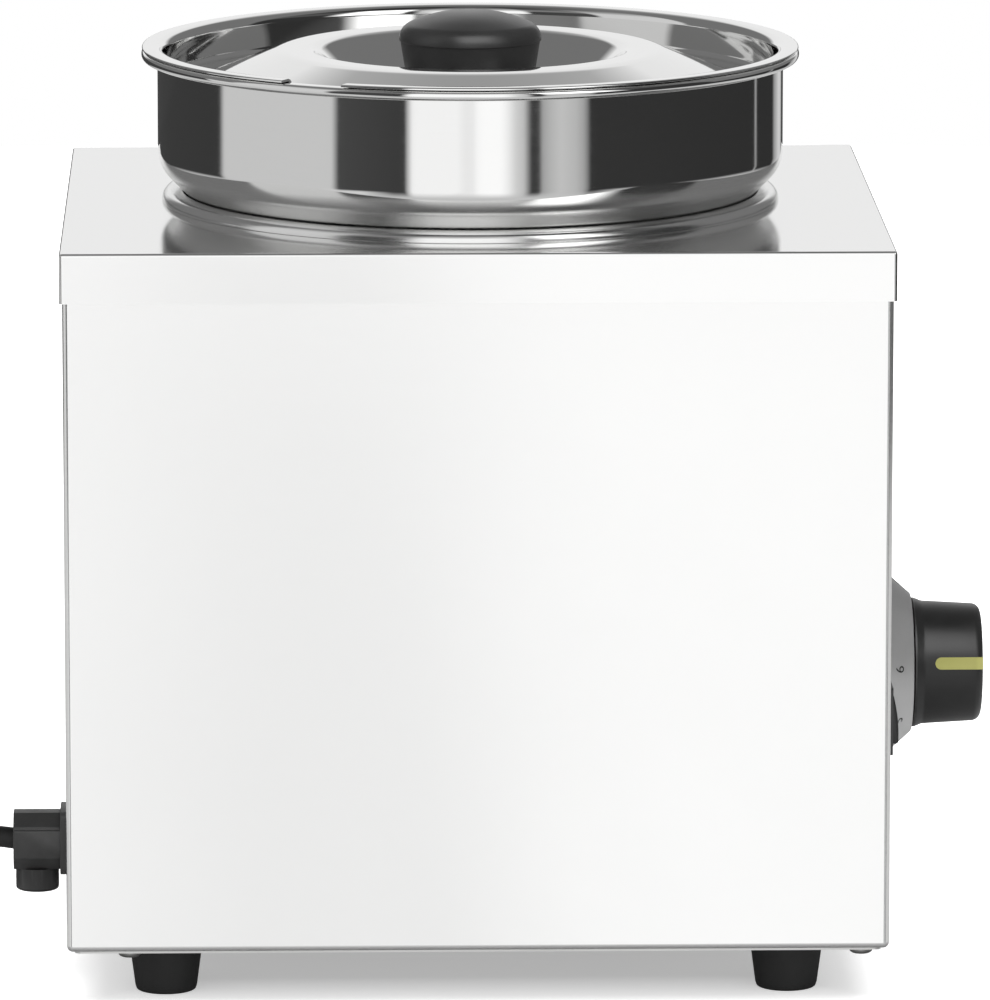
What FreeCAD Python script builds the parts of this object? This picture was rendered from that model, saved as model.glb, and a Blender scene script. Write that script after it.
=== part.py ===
import FreeCAD, Part
import math
import os
import re
import Sketcher
from FreeCAD import Placement, Rotation, Vector

# Square wet-heat soup kettle with one lift-out pot and a drop-in lid.
# Millimetres, Z up. The control panel faces +X and the mains lead leaves through the -X panel.

os.makedirs("parts", exist_ok=True)
doc = FreeCAD.newDocument("soup_kettle")
dims = doc.addObject("Spreadsheet::Sheet", "dims")

SIZES = [
    # casing, cover and base
    ("cover_width", 265, "top cover across X"),
    ("cover_depth", 240, "top cover across Y"),
    ("skin", 0.8, "sheet of cover, casing, base and well"),
    ("skirt_height", 16, "skirt of the cover"),
    ("skirt_gap", 0.1, "room between skirt and casing"),
    ("cover_bend", 1.0, "outer bend of the cover"),
    ("body_height", 226, "casing bottom to cover top"),
    ("casing_bend", 2.0, "outer bend of the casing"),
    ("flange_width", 16, "inward bottom flange of the casing"),
    ("base_inset", 2.5, "base plate edge inside the casing edge"),
    ("base_screw_inset", 9, "base screws from the long edges"),
    ("base_screw_near", 8.6, "outer base screws from the short edges"),
    ("base_screw_far", 20, "inner base screws from the short edges"),
    ("screw_hole_gap", 0.2, "radial room round a screw in sheet"),
    ("m_four", 2.0, "radius of an M4 thread"),
    ("pan_head", 3.9, "pan head radius"),
    ("pan_height", 2.3, "pan head height"),
    ("pan_round", 1.6, "pan head rounding"),
    # feet
    ("foot_height", 18.2, "floor to base plate"),
    ("foot_top", 11.4, "foot radius at the base plate"),
    ("foot_bottom", 9.7, "foot radius on the floor"),
    ("foot_side", 32.25, "foot centres from the short sides"),
    ("foot_end", 32.5, "foot centres from the long sides"),
    ("foot_recess", 9, "depth of the screw recess"),
    ("foot_recess_radius", 5.6, "radius of the screw recess"),
    # well and its rim
    ("seat_width", 8.8, "pot wall outside the well wall"),
    ("well_room", 28, "room under the well for the heater"),
    ("well_corner", 10, "inside bottom corner"),
    ("ring_width", 7.5, "well rim on the cover"),
    ("ring_height", 3.6, "well rim above the cover"),
    ("ring_edge", 2.4, "outer rounding of the well rim"),
    ("ring_lip", 1.6, "inner rounding of the well rim"),
    ("hole_gap", 0.5, "room between well and cover hole"),
    # heater
    ("element_radius", 3.25, "half the heater tube diameter"),
    ("element_inset", 33.5, "heater ring inside the well wall"),
    ("element_gap", 0.02, "heater tube to well"),
    ("plate_inset", 21.5, "pressure plate inside the well wall"),
    ("heater_plate_thick", 1.5, "pressure plate sheet"),
    ("heater_stud_radius", 3, "M6 stud"),
    ("heater_stud_length", 17, "M6 stud"),
    ("heater_nut_flat", 10, "across flats"),
    ("heater_nut_height", 5, "M6 nut"),
    ("pin_hole", 4.5, "hole in the pressure plate for a heater pin"),
    ("heater_pin", 1.6, "radius of a heater pin"),
    ("heater_pin_length", 12, "heater pin below the tube"),
    ("cutout_inset", 12.5, "cut-out inside the well wall"),
    ("cutout_radius", 8, "cut-out button"),
    ("cutout_height", 9, "cut-out button"),
    ("ear_length", 30, "fixing ears of the cut-out, end to end"),
    ("ear_width", 9, "fixing ears of the cut-out"),
    ("tab_width", 6.3, "push-on tab"),
    ("tab_thick", 0.8, "push-on tab"),
    ("tab_length", 8, "push-on tab"),
    # pot
    ("pot_skin", 0.8, "sheet of the pot"),
    ("pot_radius", 102.3, "outside of the upper pot wall"),
    ("neck_gap", 1.2, "radial room of the pot in the well"),
    ("seat_gap", 0.3, "shoulder to well rim, lid to bead"),
    ("pot_taper", 1.8, "pot narrows by this toward its bottom"),
    ("pot_floor_gap", 14, "water under the pot"),
    ("pot_corner", 12, "outside bottom corner"),
    ("neck_bend", 3, "concave bend under the shoulder"),
    ("shoulder_bend", 12, "convex bend above the shoulder"),
    ("rim_height", 49.6, "bead top above the cover"),
    ("bead_width", 5.2, "bead outside the pot wall"),
    ("bead_height", 3.2, "height of the rolled bead"),
    ("bead_round", 1.5, "rounding of the bead"),
    ("hook_width", 2.4, "turned-in part of the bead"),
    # lid
    ("lid_skin", 0.8, "sheet of the lid"),
    ("lid_gap", 0.6, "lid wall to pot wall"),
    ("lid_inset", 0.2, "lid edge inside the bead edge"),
    ("lid_drop", 12.5, "gutter below the lid flange"),
    ("gutter_width", 8.6, "floor of the gutter"),
    ("crest_outer", 62, "outer edge of the crest"),
    ("crest_inner", 51, "inner edge of the crest"),
    ("crest_drop", 1.2, "crest below the lid flange"),
    ("dish_radius", 39, "flat of the dish"),
    ("dish_drop", 13, "dish below the lid flange"),
    ("ladle_width", 18.5, "ladle notch"),
    ("ladle_depth", 19.5, "ladle notch, in from the lid edge"),
    ("ladle_angle", 28.5, "ladle notch to the left of the front"),
    ("lid_screw_radius", 2.5, "M5 thread"),
    ("handle_foot", 21.5, "lid knob radius at the dish"),
    ("handle_radius", 23.85, "lid knob radius at its edge line"),
    ("handle_edge", 14.4, "edge line above the dish"),
    ("handle_lip", 0.4, "dome over the side at the edge line"),
    ("handle_height", 24.1, "lid knob height"),
    ("handle_brow", 4, "steep part of the dome above the edge line"),
    # control panel
    ("control_height", 70, "knob axis above the casing bottom"),
    ("bezel_radius", 32.1, "dial bezel"),
    ("bezel_edge", 3.5, "cylindrical edge of the bezel"),
    ("bezel_top", 22.9, "small end of the bezel cone"),
    ("bezel_height", 14, "bezel from the panel"),
    ("bezel_wall", 2, "wall of the bezel"),
    ("peg_radius", 1.5, "bezel peg"),
    ("peg_reach", 29.3, "bezel pegs from the axis"),
    ("knob_gap", 0.6, "knob to bezel"),
    ("knob_foot", 21.1, "flared foot of the knob"),
    ("knob_waist", 19.9, "knob above its foot"),
    ("knob_end_radius", 19.4, "knob at its end"),
    ("knob_end", 37.1, "knob end from the panel"),
    ("knob_corner", 3, "rounding of the knob end"),
    ("knob_wall", 2.5, "wall of the knob"),
    ("hub_radius", 6, "hub of the knob"),
    ("pointer_width", 4, "pointer inlay"),
    ("pointer_depth", 1, "pointer inlay"),
    ("pointer_start", 21.1, "pointer inner end from the panel"),
    ("knob_rest", 9.5, "pointer above the horizontal as it was left"),
    ("shaft_radius", 3, "thermostat shaft"),
    ("shaft_end", 31, "shaft end from the panel"),
    ("shaft_flat", 1.4, "flat on the shaft"),
    ("run_gap", 0.05, "running room of shafts and trunnions"),
    ("bush_radius", 5, "thermostat bushing"),
    ("bush_end", 5, "bushing from the panel"),
    ("thermo_tall", 44, "thermostat front plate"),
    ("thermo_wide", 36, "thermostat front plate"),
    ("thermo_plate", 1.5, "thermostat front plate"),
    ("thermo_deep", 23, "thermostat case"),
    ("thermo_screw_pitch", 14, "fixing screws from the axis"),
    # rocker switch
    ("switch_y", 92, "switch in front of the knob axis"),
    ("switch_tall", 22, "switch flange"),
    ("switch_wide", 15, "switch flange"),
    ("switch_flange", 2, "switch flange"),
    ("switch_deep", 18, "switch case behind the panel"),
    ("case_inset", 1, "switch case inside its flange"),
    ("case_gap", 0.1, "switch case in the panel cut-out"),
    ("mouth_tall", 18.4, "opening of the switch"),
    ("mouth_wide", 11, "opening of the switch"),
    ("rocker_wide", 10.4, "rocker"),
    ("rocker_half", 8.2, "half length of the rocker"),
    ("rocker_end", 5.3, "rocker ends above the pivot"),
    ("rocker_crown", 6, "domed middle of the rocker above the pivot"),
    ("rocker_tilt", 6, "rocker tilt at each end stop"),
    ("pivot_drop", 1.5, "pivot behind the panel face"),
    ("trunnion_radius", 1.5, "rocker trunnion"),
    # cord gland
    ("gland_y", 60, "gland in front of the middle"),
    ("gland_height", 24.8, "gland axis above the casing bottom"),
    ("gland_flange", 20.7, "gland flange"),
    ("gland_flange_thick", 3, "gland flange"),
    ("gland_block", 18.2, "gland block"),
    ("gland_depth", 18.2, "gland from the panel"),
    ("gland_split", 5.8, "clamp bridge height"),
    ("bridge_top", 6.4, "flat top of the clamp bridge"),
    ("bridge_side", 1.2, "upright side of the clamp bridge"),
    ("gland_neck", 8, "threaded neck radius"),
    ("gland_neck_length", 12, "threaded neck behind the panel"),
    ("gland_nut_flat", 24, "across flats"),
    ("gland_nut_height", 5, "gland nut"),
    ("clamp_radius", 7, "pressure screw head"),
    ("clamp_head", 7.5, "pressure screw head below the block"),
    ("clamp_thread", 5, "pressure screw thread radius"),
    ("block_reach", 92, "terminal block left of the body's middle"),
    ("block_y", 18, "terminal block behind the middle"),
    ("block_wide", 20, "terminal block"),
    ("block_long", 36, "terminal block"),
    ("block_tall", 17, "terminal block"),
    ("terminal_pitch", 11, "between terminals"),
    ("terminal_well", 2.6, "screw well of a terminal"),
    ("terminal_floor", 8, "floor of a screw well"),
    ("clamp_slot", 1.6, "screwdriver slot across the pressure screw"),
    ("clamp_reach", 10.6, "pressure screw from the panel"),
    # mains lead
    ("cord_radius", 3.5, "half the cord diameter"),
    ("coil_x", 218, "coil centre behind the body centre"),
    ("coil_y", 15, "coil centre"),
    ("coil_radius", 50.5, "outermost turn"),
    ("coil_pitch", 7.7, "turn to turn"),
    ("coil_turns", 2.25, "turns in a layer"),
    ("coil_low", 4.8, "height of the lower layer"),
    ("coil_lift", 7.5, "layer to layer"),
    ("tie_gap", 0.3, "tie to cord, above and below"),
    ("tie_side_gap", 0.7, "tie to cord, at the sides"),
    ("tie_thick", 0.8, "tie band"),
    ("tie_width", 4, "tie band"),
    ("plug_away", 57, "plug behind the coil centre"),
    ("plug_radius", 18.5, "plug face"),
    ("plug_length", 36, "plug body"),
    ("relief_length", 22, "strain relief of the plug"),
    ("pin_radius", 2.4, "plug pin"),
    ("pin_length", 19, "plug pin"),
    ("pin_pitch", 9.5, "plug pins from the plug axis"),
]

for row, (name, value, note) in enumerate(SIZES, 1):
    dims.set(f"A{row}", name)
    dims.set(f"B{row}", str(value))
    dims.setAlias(f"B{row}", name)
    dims.set(f"C{row}", note)
doc.recompute()
SIZE_NAMES = [name for name, value, note in SIZES]

PLACES = {
    "casing_width": "cover_width - 2 * (skin + skirt_gap)",
    "casing_depth": "cover_depth - 2 * (skin + skirt_gap)",
    "casing_floor": "foot_height + skin",
    "cover_top": "casing_floor + body_height",
    "body_x": "(gland_depth - knob_end) / 2",
    "panel_x": "body_x + casing_width / 2",
    "cord_panel_x": "body_x - casing_width / 2",
    "control_z": "casing_floor + control_height",
    "gland_z": "casing_floor + gland_height",
    "foot_x": "cover_width / 2 - foot_side",
    "foot_y": "cover_depth / 2 - foot_end",
    "base_screw_y": "casing_depth / 2 - base_screw_inset",
    "near_screw_x": "casing_width / 2 - base_screw_near",
    "far_screw_x": "casing_width / 2 - base_screw_far",
    "screw_hole": "m_four + screw_hole_gap",
    "well_radius": "pot_radius - seat_width",
    "well_depth": "body_height - well_room",
    "ring_radius": "well_radius + ring_width",
    "element_ring": "well_radius - element_inset",
    "heater_plate_radius": "well_radius - plate_inset",
    "well_outer": "well_radius + skin",
    "well_bottom": "0 - well_depth - skin",
    "plate_top": "well_bottom - element_gap - 2 * element_radius",
    "plate_bottom": "plate_top - heater_plate_thick",
    "neck_radius": "well_radius - neck_gap",
    "slope_rise": "ring_height - 2 * ring_lip - well_radius + sqrt(2) * (ring_lip + seat_gap)",
    "pot_base": "pot_floor_gap - well_depth",
    "rim_radius": "pot_radius + bead_width",
    "pot_inner": "pot_radius - pot_skin",
    "fold_rise": "pot_skin * (sqrt(2) - 1)",
    "lid_z": "cover_top + rim_height + seat_gap",
    "lid_radius": "rim_radius - lid_inset",
    "lid_wall": "pot_inner - lid_gap - lid_skin",
    "gutter_radius": "lid_wall - gutter_width",
    "lid_hole": "lid_screw_radius + screw_hole_gap",
    "case_tall": "switch_tall - 2 * case_inset",
    "case_wide": "switch_wide - 2 * case_inset",
    "knob_start": "bezel_height + knob_gap",
    "bridge_low": "gland_block / 2 - gland_split",
    "coil_centre_x": "body_x - coil_x",
    "coil_west": "coil_centre_x - coil_radius",
    "coil_high": "coil_low + coil_lift",
    "block_x": "body_x - block_reach",
    "plug_y": "coil_y + plug_away",
    "plug_z": "plug_radius + 0.1",
}


def bound(text):
    """The expression with every size read from the sheet and every place written out."""
    def swap(match):
        word = match.group(0)
        if word in PLACES:
            return "(" + bound(PLACES[word]) + ")"
        if word in SIZE_NAMES:
            return "dims." + word
        return word
    return re.sub(r"[a-z][a-z_]*", swap, text)


def size(text):
    return float(dims.evalExpression(bound(text)))


NODES = []


def placed(thing, x, y, z, axis=None, turn=0):
    if axis is not None:
        thing.Placement = Placement(Vector(0, 0, 0), Rotation(axis, turn))
    thing.setExpression("Placement.Base.x", bound(x))
    thing.setExpression("Placement.Base.y", bound(y))
    thing.setExpression("Placement.Base.z", bound(z))


def body(label, x="body_x", y="0", z="0", axis=None, turn=0, node=True):
    piece = doc.addObject("PartDesign::Body", label)
    piece.Label = label
    placed(piece, x, y, z, axis, turn)
    if node:
        NODES.append(piece)
    return piece


OUT_FRONT = (Vector(0, 1, 0), 90)
OUT_BACK = (Vector(0, 1, 0), -90)


def front(label, y="0", z="control_z", node=True):
    """Body on the control panel: local Z outward, local X down."""
    return body(label, "panel_x", y, z, *OUT_FRONT, node=node)


def knob_front(label):
    """Body that turns with the knob, in the position in which it was left."""
    piece = front(label)
    left_at = Rotation(*OUT_FRONT).multiply(Rotation(Vector(0, 0, 1), -size("knob_rest")))
    piece.Placement = Placement(piece.Placement.Base, left_at)
    return piece


def back(label, node=True):
    """Body on the cord panel at the gland: local Z outward, local X up."""
    return body(label, "cord_panel_x", "0 - gland_y", "gland_z", *OUT_BACK, node=node)


def sketch(piece, role="XY_Plane", level="0"):
    flat = [part for part in piece.Origin.OriginFeatures if part.Role == role][0]
    drawing = piece.newObject("Sketcher::SketchObject", piece.Name + "_sketch")
    drawing.AttachmentSupport = (flat, [""])
    drawing.MapMode = "FlatFace"
    if level != "0":
        drawing.setExpression("AttachmentOffset.Base.z", bound(level))
    return drawing


def constrain(drawing, rules):
    """Adds the rules in one go and binds those that carry an expression."""
    numbers = drawing.addConstraint([rule for rule, text in rules])
    for number, (rule, text) in zip(numbers, rules):
        if text is not None:
            drawing.setExpression(f"Constraints[{number}]", bound(text))


def at_point(geometry, end, x, y):
    """Rules that hold a point at sheet-driven coordinates."""
    rules = []
    for kind, axis, text in (("DistanceX", -2, x), ("DistanceY", -1, y)):
        if text == "0":
            rules.append((Sketcher.Constraint("PointOnObject", geometry, end, axis), None))
        else:
            rules.append((Sketcher.Constraint(kind, -1, 1, geometry, end, size(text)), text))
    return rules


def outline(drawing, corners):
    """Closed outline through corners (x, y) or (x, y, rounding), all given as sheet expressions."""
    count = len(corners)
    points = [Vector(size(corner[0]), size(corner[1]), 0) for corner in corners]
    leave = []
    arrive = []
    arcs = []
    for index, corner in enumerate(corners):
        here = points[index]
        to_last = (points[index - 1] - here).normalize()
        to_next = (points[(index + 1) % count] - here).normalize()
        if len(corner) == 2:
            leave.append(here)
            arrive.append(here)
            arcs.append(None)
            continue
        rounding = size(corner[2])
        half = to_last.getAngle(to_next) / 2
        arrive.append(here + to_last * (rounding / math.tan(half)))
        leave.append(here + to_next * (rounding / math.tan(half)))
        middle = here + (to_last + to_next).normalize() * (rounding / math.sin(half))
        left_turn = to_last.cross(to_next).z < 0
        first, last = (arrive[-1], leave[-1]) if left_turn else (leave[-1], arrive[-1])
        begin = math.atan2(first.y - middle.y, first.x - middle.x)
        finish = math.atan2(last.y - middle.y, last.x - middle.x)
        circle = Part.Circle(middle, Vector(0, 0, 1), rounding)
        arcs.append((Part.ArcOfCircle(circle, begin, finish), left_turn))
    lines = []
    for index in range(count):
        end = arrive[(index + 1) % count]
        lines.append(drawing.addGeometry(Part.LineSegment(leave[index], end)))
    rules = []
    for index, corner in enumerate(corners):
        last_line = lines[index - 1]
        next_line = lines[index]
        if arcs[index] is None:
            rules.append((Sketcher.Constraint("Coincident", last_line, 2, next_line, 1), None))
            rules += at_point(next_line, 1, corner[0], corner[1])
            continue
        arc, left_turn = arcs[index]
        bend = drawing.addGeometry(arc)
        tip = drawing.addGeometry(Part.Point(points[index]), True)
        entry, leaving = (1, 2) if left_turn else (2, 1)
        rules += at_point(tip, 1, corner[0], corner[1])
        rules.append((Sketcher.Constraint("PointOnObject", tip, 1, last_line), None))
        rules.append((Sketcher.Constraint("PointOnObject", tip, 1, next_line), None))
        rules.append((Sketcher.Constraint("Tangent", last_line, 2, bend, entry), None))
        rules.append((Sketcher.Constraint("Tangent", bend, leaving, next_line, 1), None))
        rules.append((Sketcher.Constraint("Radius", bend, size(corner[2])), corner[2]))
    constrain(drawing, rules)


def oblong(drawing, wide, tall, x="0", y="0", rounding=None):
    """Upright rectangle round a middle point."""
    right = f"{x} + ({wide}) / 2"
    left = f"{x} - ({wide}) / 2"
    top = f"{y} + ({tall}) / 2"
    bottom = f"{y} - ({tall}) / 2"
    corners = [(left, bottom), (right, bottom), (right, top), (left, top)]
    if rounding is not None:
        corners = [corner + (rounding,) for corner in corners]
    outline(drawing, corners)


def disc(drawing, radius, x="0", y="0"):
    middle = Vector(size(x), size(y), 0)
    ring = drawing.addGeometry(Part.Circle(middle, Vector(0, 0, 1), size(radius)))
    rules = at_point(ring, 3, x, y)
    rules.append((Sketcher.Constraint("Radius", ring, size(radius)), radius))
    constrain(drawing, rules)


def hexagon(drawing, flats):
    """Hexagon with its flats this far apart."""
    corner = f"({flats}) / sqrt(3)"
    side = f"({flats}) / 2"
    half = f"({flats}) / sqrt(12)"
    outline(drawing, [
        (corner, "0"), (half, side), (f"0 - {half}", side),
        (f"0 - {corner}", "0"), (f"0 - {half}", f"0 - {side}"), (half, f"0 - {side}"),
    ])


CHANGES = []


def feature(piece, kind, drawing, grows):
    before = piece.Tip
    made = piece.newObject("PartDesign::" + kind, piece.Name + "_" + kind.lower())
    made.Profile = drawing
    CHANGES.append((made, before, grows))
    return made


def pad(piece, drawing, length, down=False, both=False):
    made = feature(piece, "Pad", drawing, True)
    made.setExpression("Length", bound(length))
    made.Reversed = down
    if both:
        made.SideType = "Symmetric"


def pocket(piece, drawing, length=None, up=False, both=False):
    """Cuts against the sketch normal, or along it with up."""
    made = feature(piece, "Pocket", drawing, False)
    if length is None:
        made.Type = "ThroughAll"
    else:
        made.setExpression("Length", bound(length))
    made.Reversed = up
    if both:
        made.SideType = "Symmetric"


def revolve(piece, drawing, angle=360, axis="V_Axis"):
    made = feature(piece, "Revolution", drawing, True)
    made.ReferenceAxis = (drawing, [axis])
    made.Angle = angle


def groove(piece, drawing, axis="V_Axis"):
    made = feature(piece, "Groove", drawing, False)
    made.ReferenceAxis = (drawing, [axis])
    made.Angle = 360


def edges(piece, test):
    """Names of the edges whose end points all pass the test."""
    doc.recompute()
    found = []
    for number, edge in enumerate(piece.Tip.Shape.Edges, 1):
        if all(test(vertex.Point) for vertex in edge.Vertexes):
            found.append(f"Edge{number}")
    return found


def fillet(piece, names, radius):
    before = piece.Tip
    made = piece.newObject("PartDesign::Fillet", piece.Name + "_fillet")
    made.Base = (before, names)
    made.setExpression("Radius", bound(radius))


def near(value, text):
    return abs(value - size(text)) < 0.01


def turned(piece, corners, role="XZ_Plane"):
    """Turned piece: corners as (radius, height)."""
    drawing = sketch(piece, role)
    outline(drawing, corners)
    revolve(piece, drawing)


def group(label, pattern, spots):
    """Identical pieces at several spots, kept together as one node."""
    copies = []
    for number, (x, y, z, axis, turn) in enumerate(spots, 1):
        copy = doc.addObject("App::Link", f"{label}_{number}")
        copy.LinkedObject = pattern
        placed(copy, x, y, z, axis or Vector(0, 0, 1), turn)
        copies.append(copy)
    cluster = doc.addObject("Part::Compound", label)
    cluster.Label = label
    cluster.Links = copies
    NODES.append(cluster)


# Casing: one wrapped sheet with small bends, an inward flange at the bottom and cut-outs in two walls.
casing = body("casing", z="casing_floor")
drawing = sketch(casing)
oblong(drawing, "casing_width", "casing_depth", rounding="casing_bend")
pad(casing, drawing, "body_height - skin")
fillet(casing, edges(casing, lambda p: near(p.z, "0")), "casing_bend")
drawing = sketch(casing, level="skin")
oblong(drawing, "casing_width - 2 * skin", "casing_depth - 2 * skin", rounding="casing_bend - skin")
pocket(casing, drawing, up=True)
inner_x = size("casing_width / 2 - skin / 2")
inner_y = size("casing_depth / 2 - skin / 2")
inside_fold = edges(casing, lambda p: near(p.z, "skin") and abs(p.x) < inner_x and abs(p.y) < inner_y)
fillet(casing, inside_fold, "casing_bend - skin")
drawing = sketch(casing)
oblong(drawing, "casing_width - 2 * flange_width", "casing_depth - 2 * flange_width",
       rounding="casing_bend")
pocket(casing, drawing, up=True)
drawing = sketch(casing)
disc(drawing, "screw_hole", "near_screw_x", "0 - base_screw_y")
disc(drawing, "screw_hole", "0 - far_screw_x", "0 - base_screw_y")
disc(drawing, "screw_hole", "0 - near_screw_x", "base_screw_y")
disc(drawing, "screw_hole", "far_screw_x", "base_screw_y")
pocket(casing, drawing, up=True)
drawing = sketch(casing, "YZ_Plane")
disc(drawing, "bush_radius + screw_hole_gap", "0", "control_height")
disc(drawing, "screw_hole", "thermo_screw_pitch", "control_height")
disc(drawing, "screw_hole", "0 - thermo_screw_pitch", "control_height")
disc(drawing, "peg_radius + run_gap", "0", "control_height + peg_reach")
disc(drawing, "peg_radius + run_gap", "0", "control_height - peg_reach")
oblong(drawing, "case_wide + 2 * case_gap", "case_tall + 2 * case_gap", "0 - switch_y", "control_height")
pocket(casing, drawing, up=True)
drawing = sketch(casing, "YZ_Plane")
disc(drawing, "gland_neck + screw_hole_gap", "0 - gland_y", "gland_height")
pocket(casing, drawing)

# Top cover: folded pan with a skirt over the casing and a round hole for the well.
cover = body("top_cover", z="cover_top")
drawing = sketch(cover)
oblong(drawing, "cover_width", "cover_depth")
pad(cover, drawing, "skirt_height", down=True)
upright = edges(cover, lambda p: True)
upright = [name for name in upright if abs(cover.Tip.Shape.getElement(name).BoundBox.ZLength) > 1]
fillet(cover, upright + edges(cover, lambda p: near(p.z, "0")), "cover_bend")
drawing = sketch(cover, level="0 - skin")
oblong(drawing, "cover_width - 2 * skin", "cover_depth - 2 * skin")
pocket(cover, drawing)
drawing = sketch(cover)
disc(drawing, "well_outer + hole_gap")
pocket(cover, drawing)

# Base plate: flat sheet screwed to the casing flange from below.
base = body("base_plate", z="foot_height")
drawing = sketch(base)
oblong(drawing, "casing_width - 2 * base_inset", "casing_depth - 2 * base_inset", rounding="casing_bend")
for x in ("foot_x", "0 - foot_x"):
    for y in ("foot_y", "0 - foot_y"):
        disc(drawing, "screw_hole", x, y)
disc(drawing, "screw_hole", "near_screw_x", "0 - base_screw_y")
disc(drawing, "screw_hole", "0 - far_screw_x", "0 - base_screw_y")
disc(drawing, "screw_hole", "0 - near_screw_x", "base_screw_y")
disc(drawing, "screw_hole", "far_screw_x", "base_screw_y")
pad(base, drawing, "skin")

# Base screws: pan heads below the base plate.
pattern = body("base_screw", node=False)
turned(pattern, [
    ("0", "0 - pan_height"), ("pan_head", "0 - pan_height", "pan_round"), ("pan_head", "0"),
    ("m_four", "0"), ("m_four", "8"), ("0", "8"),
])
spots = []
for x, y in (("near_screw_x", "0 - base_screw_y"), ("0 - far_screw_x", "0 - base_screw_y"),
             ("0 - near_screw_x", "base_screw_y"), ("far_screw_x", "base_screw_y")):
    spots.append((f"body_x + ({x})", y, "foot_height", None, 0))
group("base_screws", pattern, spots)

# Feet: tapered rubber with a recess for the screw, one piece at each corner.
FEET = (("front_left", "0 - foot_x", "0 - foot_y"), ("front_right", "foot_x", "0 - foot_y"),
        ("back_left", "0 - foot_x", "foot_y"), ("back_right", "foot_x", "foot_y"))
for corner, x, y in FEET:
    foot = body("foot_" + corner, f"body_x + ({x})", y)
    turned(foot, [
        ("foot_recess_radius", "0"), ("foot_bottom", "0", "0.8"), ("foot_top", "foot_height"),
        ("screw_hole", "foot_height"), ("screw_hole", "foot_recess"),
        ("foot_recess_radius", "foot_recess"),
    ])
pattern = body("foot_screw", node=False)
turned(pattern, [
    ("0", "foot_recess - pan_height"), ("pan_head", "foot_recess - pan_height", "pan_round"),
    ("pan_head", "foot_recess"), ("m_four", "foot_recess"), ("m_four", "casing_floor + 5"),
    ("0", "casing_floor + 5"),
])
group("foot_screws", pattern, [(f"body_x + ({x})", y, "0", None, 0) for corner, x, y in FEET])
pattern = body("foot_nut", node=False)
drawing = sketch(pattern)
hexagon(drawing, "7")
disc(drawing, "m_four + run_gap")
pad(pattern, drawing, "3.2")
spots = [(f"body_x + ({x})", y, "casing_floor", None, 0) for corner, x, y in FEET]
group("foot_nuts", pattern, spots)

# Water well: deep-drawn cup whose rolled rim lies on the cover.
well = body("well", z="cover_top")
turned(well, [
    ("0", "well_bottom"), ("well_outer", "well_bottom", "well_corner + skin"),
    ("well_outer", "ring_height - skin", "ring_lip - skin"),
    ("ring_radius - skin", "ring_height - skin", "ring_edge - skin"), ("ring_radius - skin", "0"),
    ("ring_radius", "0"), ("ring_radius", "ring_height", "ring_edge"),
    ("well_radius", "ring_height", "ring_lip"), ("well_radius", "0 - well_depth", "well_corner"),
    ("0", "0 - well_depth"),
])
seal = body("well_seal", z="cover_top")
turned(seal, [
    ("well_outer + 1.4", "0"), ("ring_radius - skin - 1.8", "0"),
    ("ring_radius - skin - 1.8", "ring_height - skin"), ("well_outer + 1.4", "ring_height - skin"),
])

# Heater: tubular ring pressed to the underside of the well by a plate on a welded stud.
element = body("heating_element", z="cover_top")
drawing = sketch(element, "XZ_Plane")
disc(drawing, "element_radius", "element_ring", "well_bottom - element_gap - element_radius")
revolve(element, drawing, 330)
for turn in ("0", "330"):
    drawing = sketch(element, level="well_bottom - element_gap - element_radius")
    disc(drawing, "heater_pin", f"element_ring * cos({turn})", f"element_ring * sin({turn})")
    pad(element, drawing, "element_radius + heater_pin_length", down=True)
plate = body("heater_plate", z="cover_top")
drawing = sketch(plate, level="plate_top")
disc(drawing, "heater_plate_radius")
disc(drawing, "heater_stud_radius + screw_hole_gap")
for turn in ("0", "330"):
    disc(drawing, "pin_hole", f"element_ring * cos({turn})", f"element_ring * sin({turn})")
pad(plate, drawing, "heater_plate_thick", down=True)
stud = body("heater_stud", z="cover_top")
drawing = sketch(stud, level="well_bottom")
disc(drawing, "heater_stud_radius")
pad(stud, drawing, "heater_stud_length", down=True)
nut = body("heater_nut", z="cover_top")
drawing = sketch(nut, level="plate_bottom")
hexagon(drawing, "heater_nut_flat")
disc(drawing, "heater_stud_radius + run_gap")
pad(nut, drawing, "heater_nut_height", down=True)

# Thermal cut-out: button thermostat with two ears, spot-welded under the well against boiling dry.
cutout = body("thermal_cutout", "body_x", "cutout_inset - well_radius", "cover_top")
drawing = sketch(cutout, level="well_bottom")
oblong(drawing, "ear_length", "ear_width", rounding="3")
pad(cutout, drawing, "1", down=True)
drawing = sketch(cutout, level="well_bottom")
disc(drawing, "cutout_radius")
pad(cutout, drawing, "cutout_height", down=True)
for side in ("cutout_radius / 2", "0 - cutout_radius / 2"):
    drawing = sketch(cutout, level="well_bottom - cutout_height")
    oblong(drawing, "tab_thick", "tab_width", side)
    pad(cutout, drawing, "tab_length", down=True)

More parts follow.
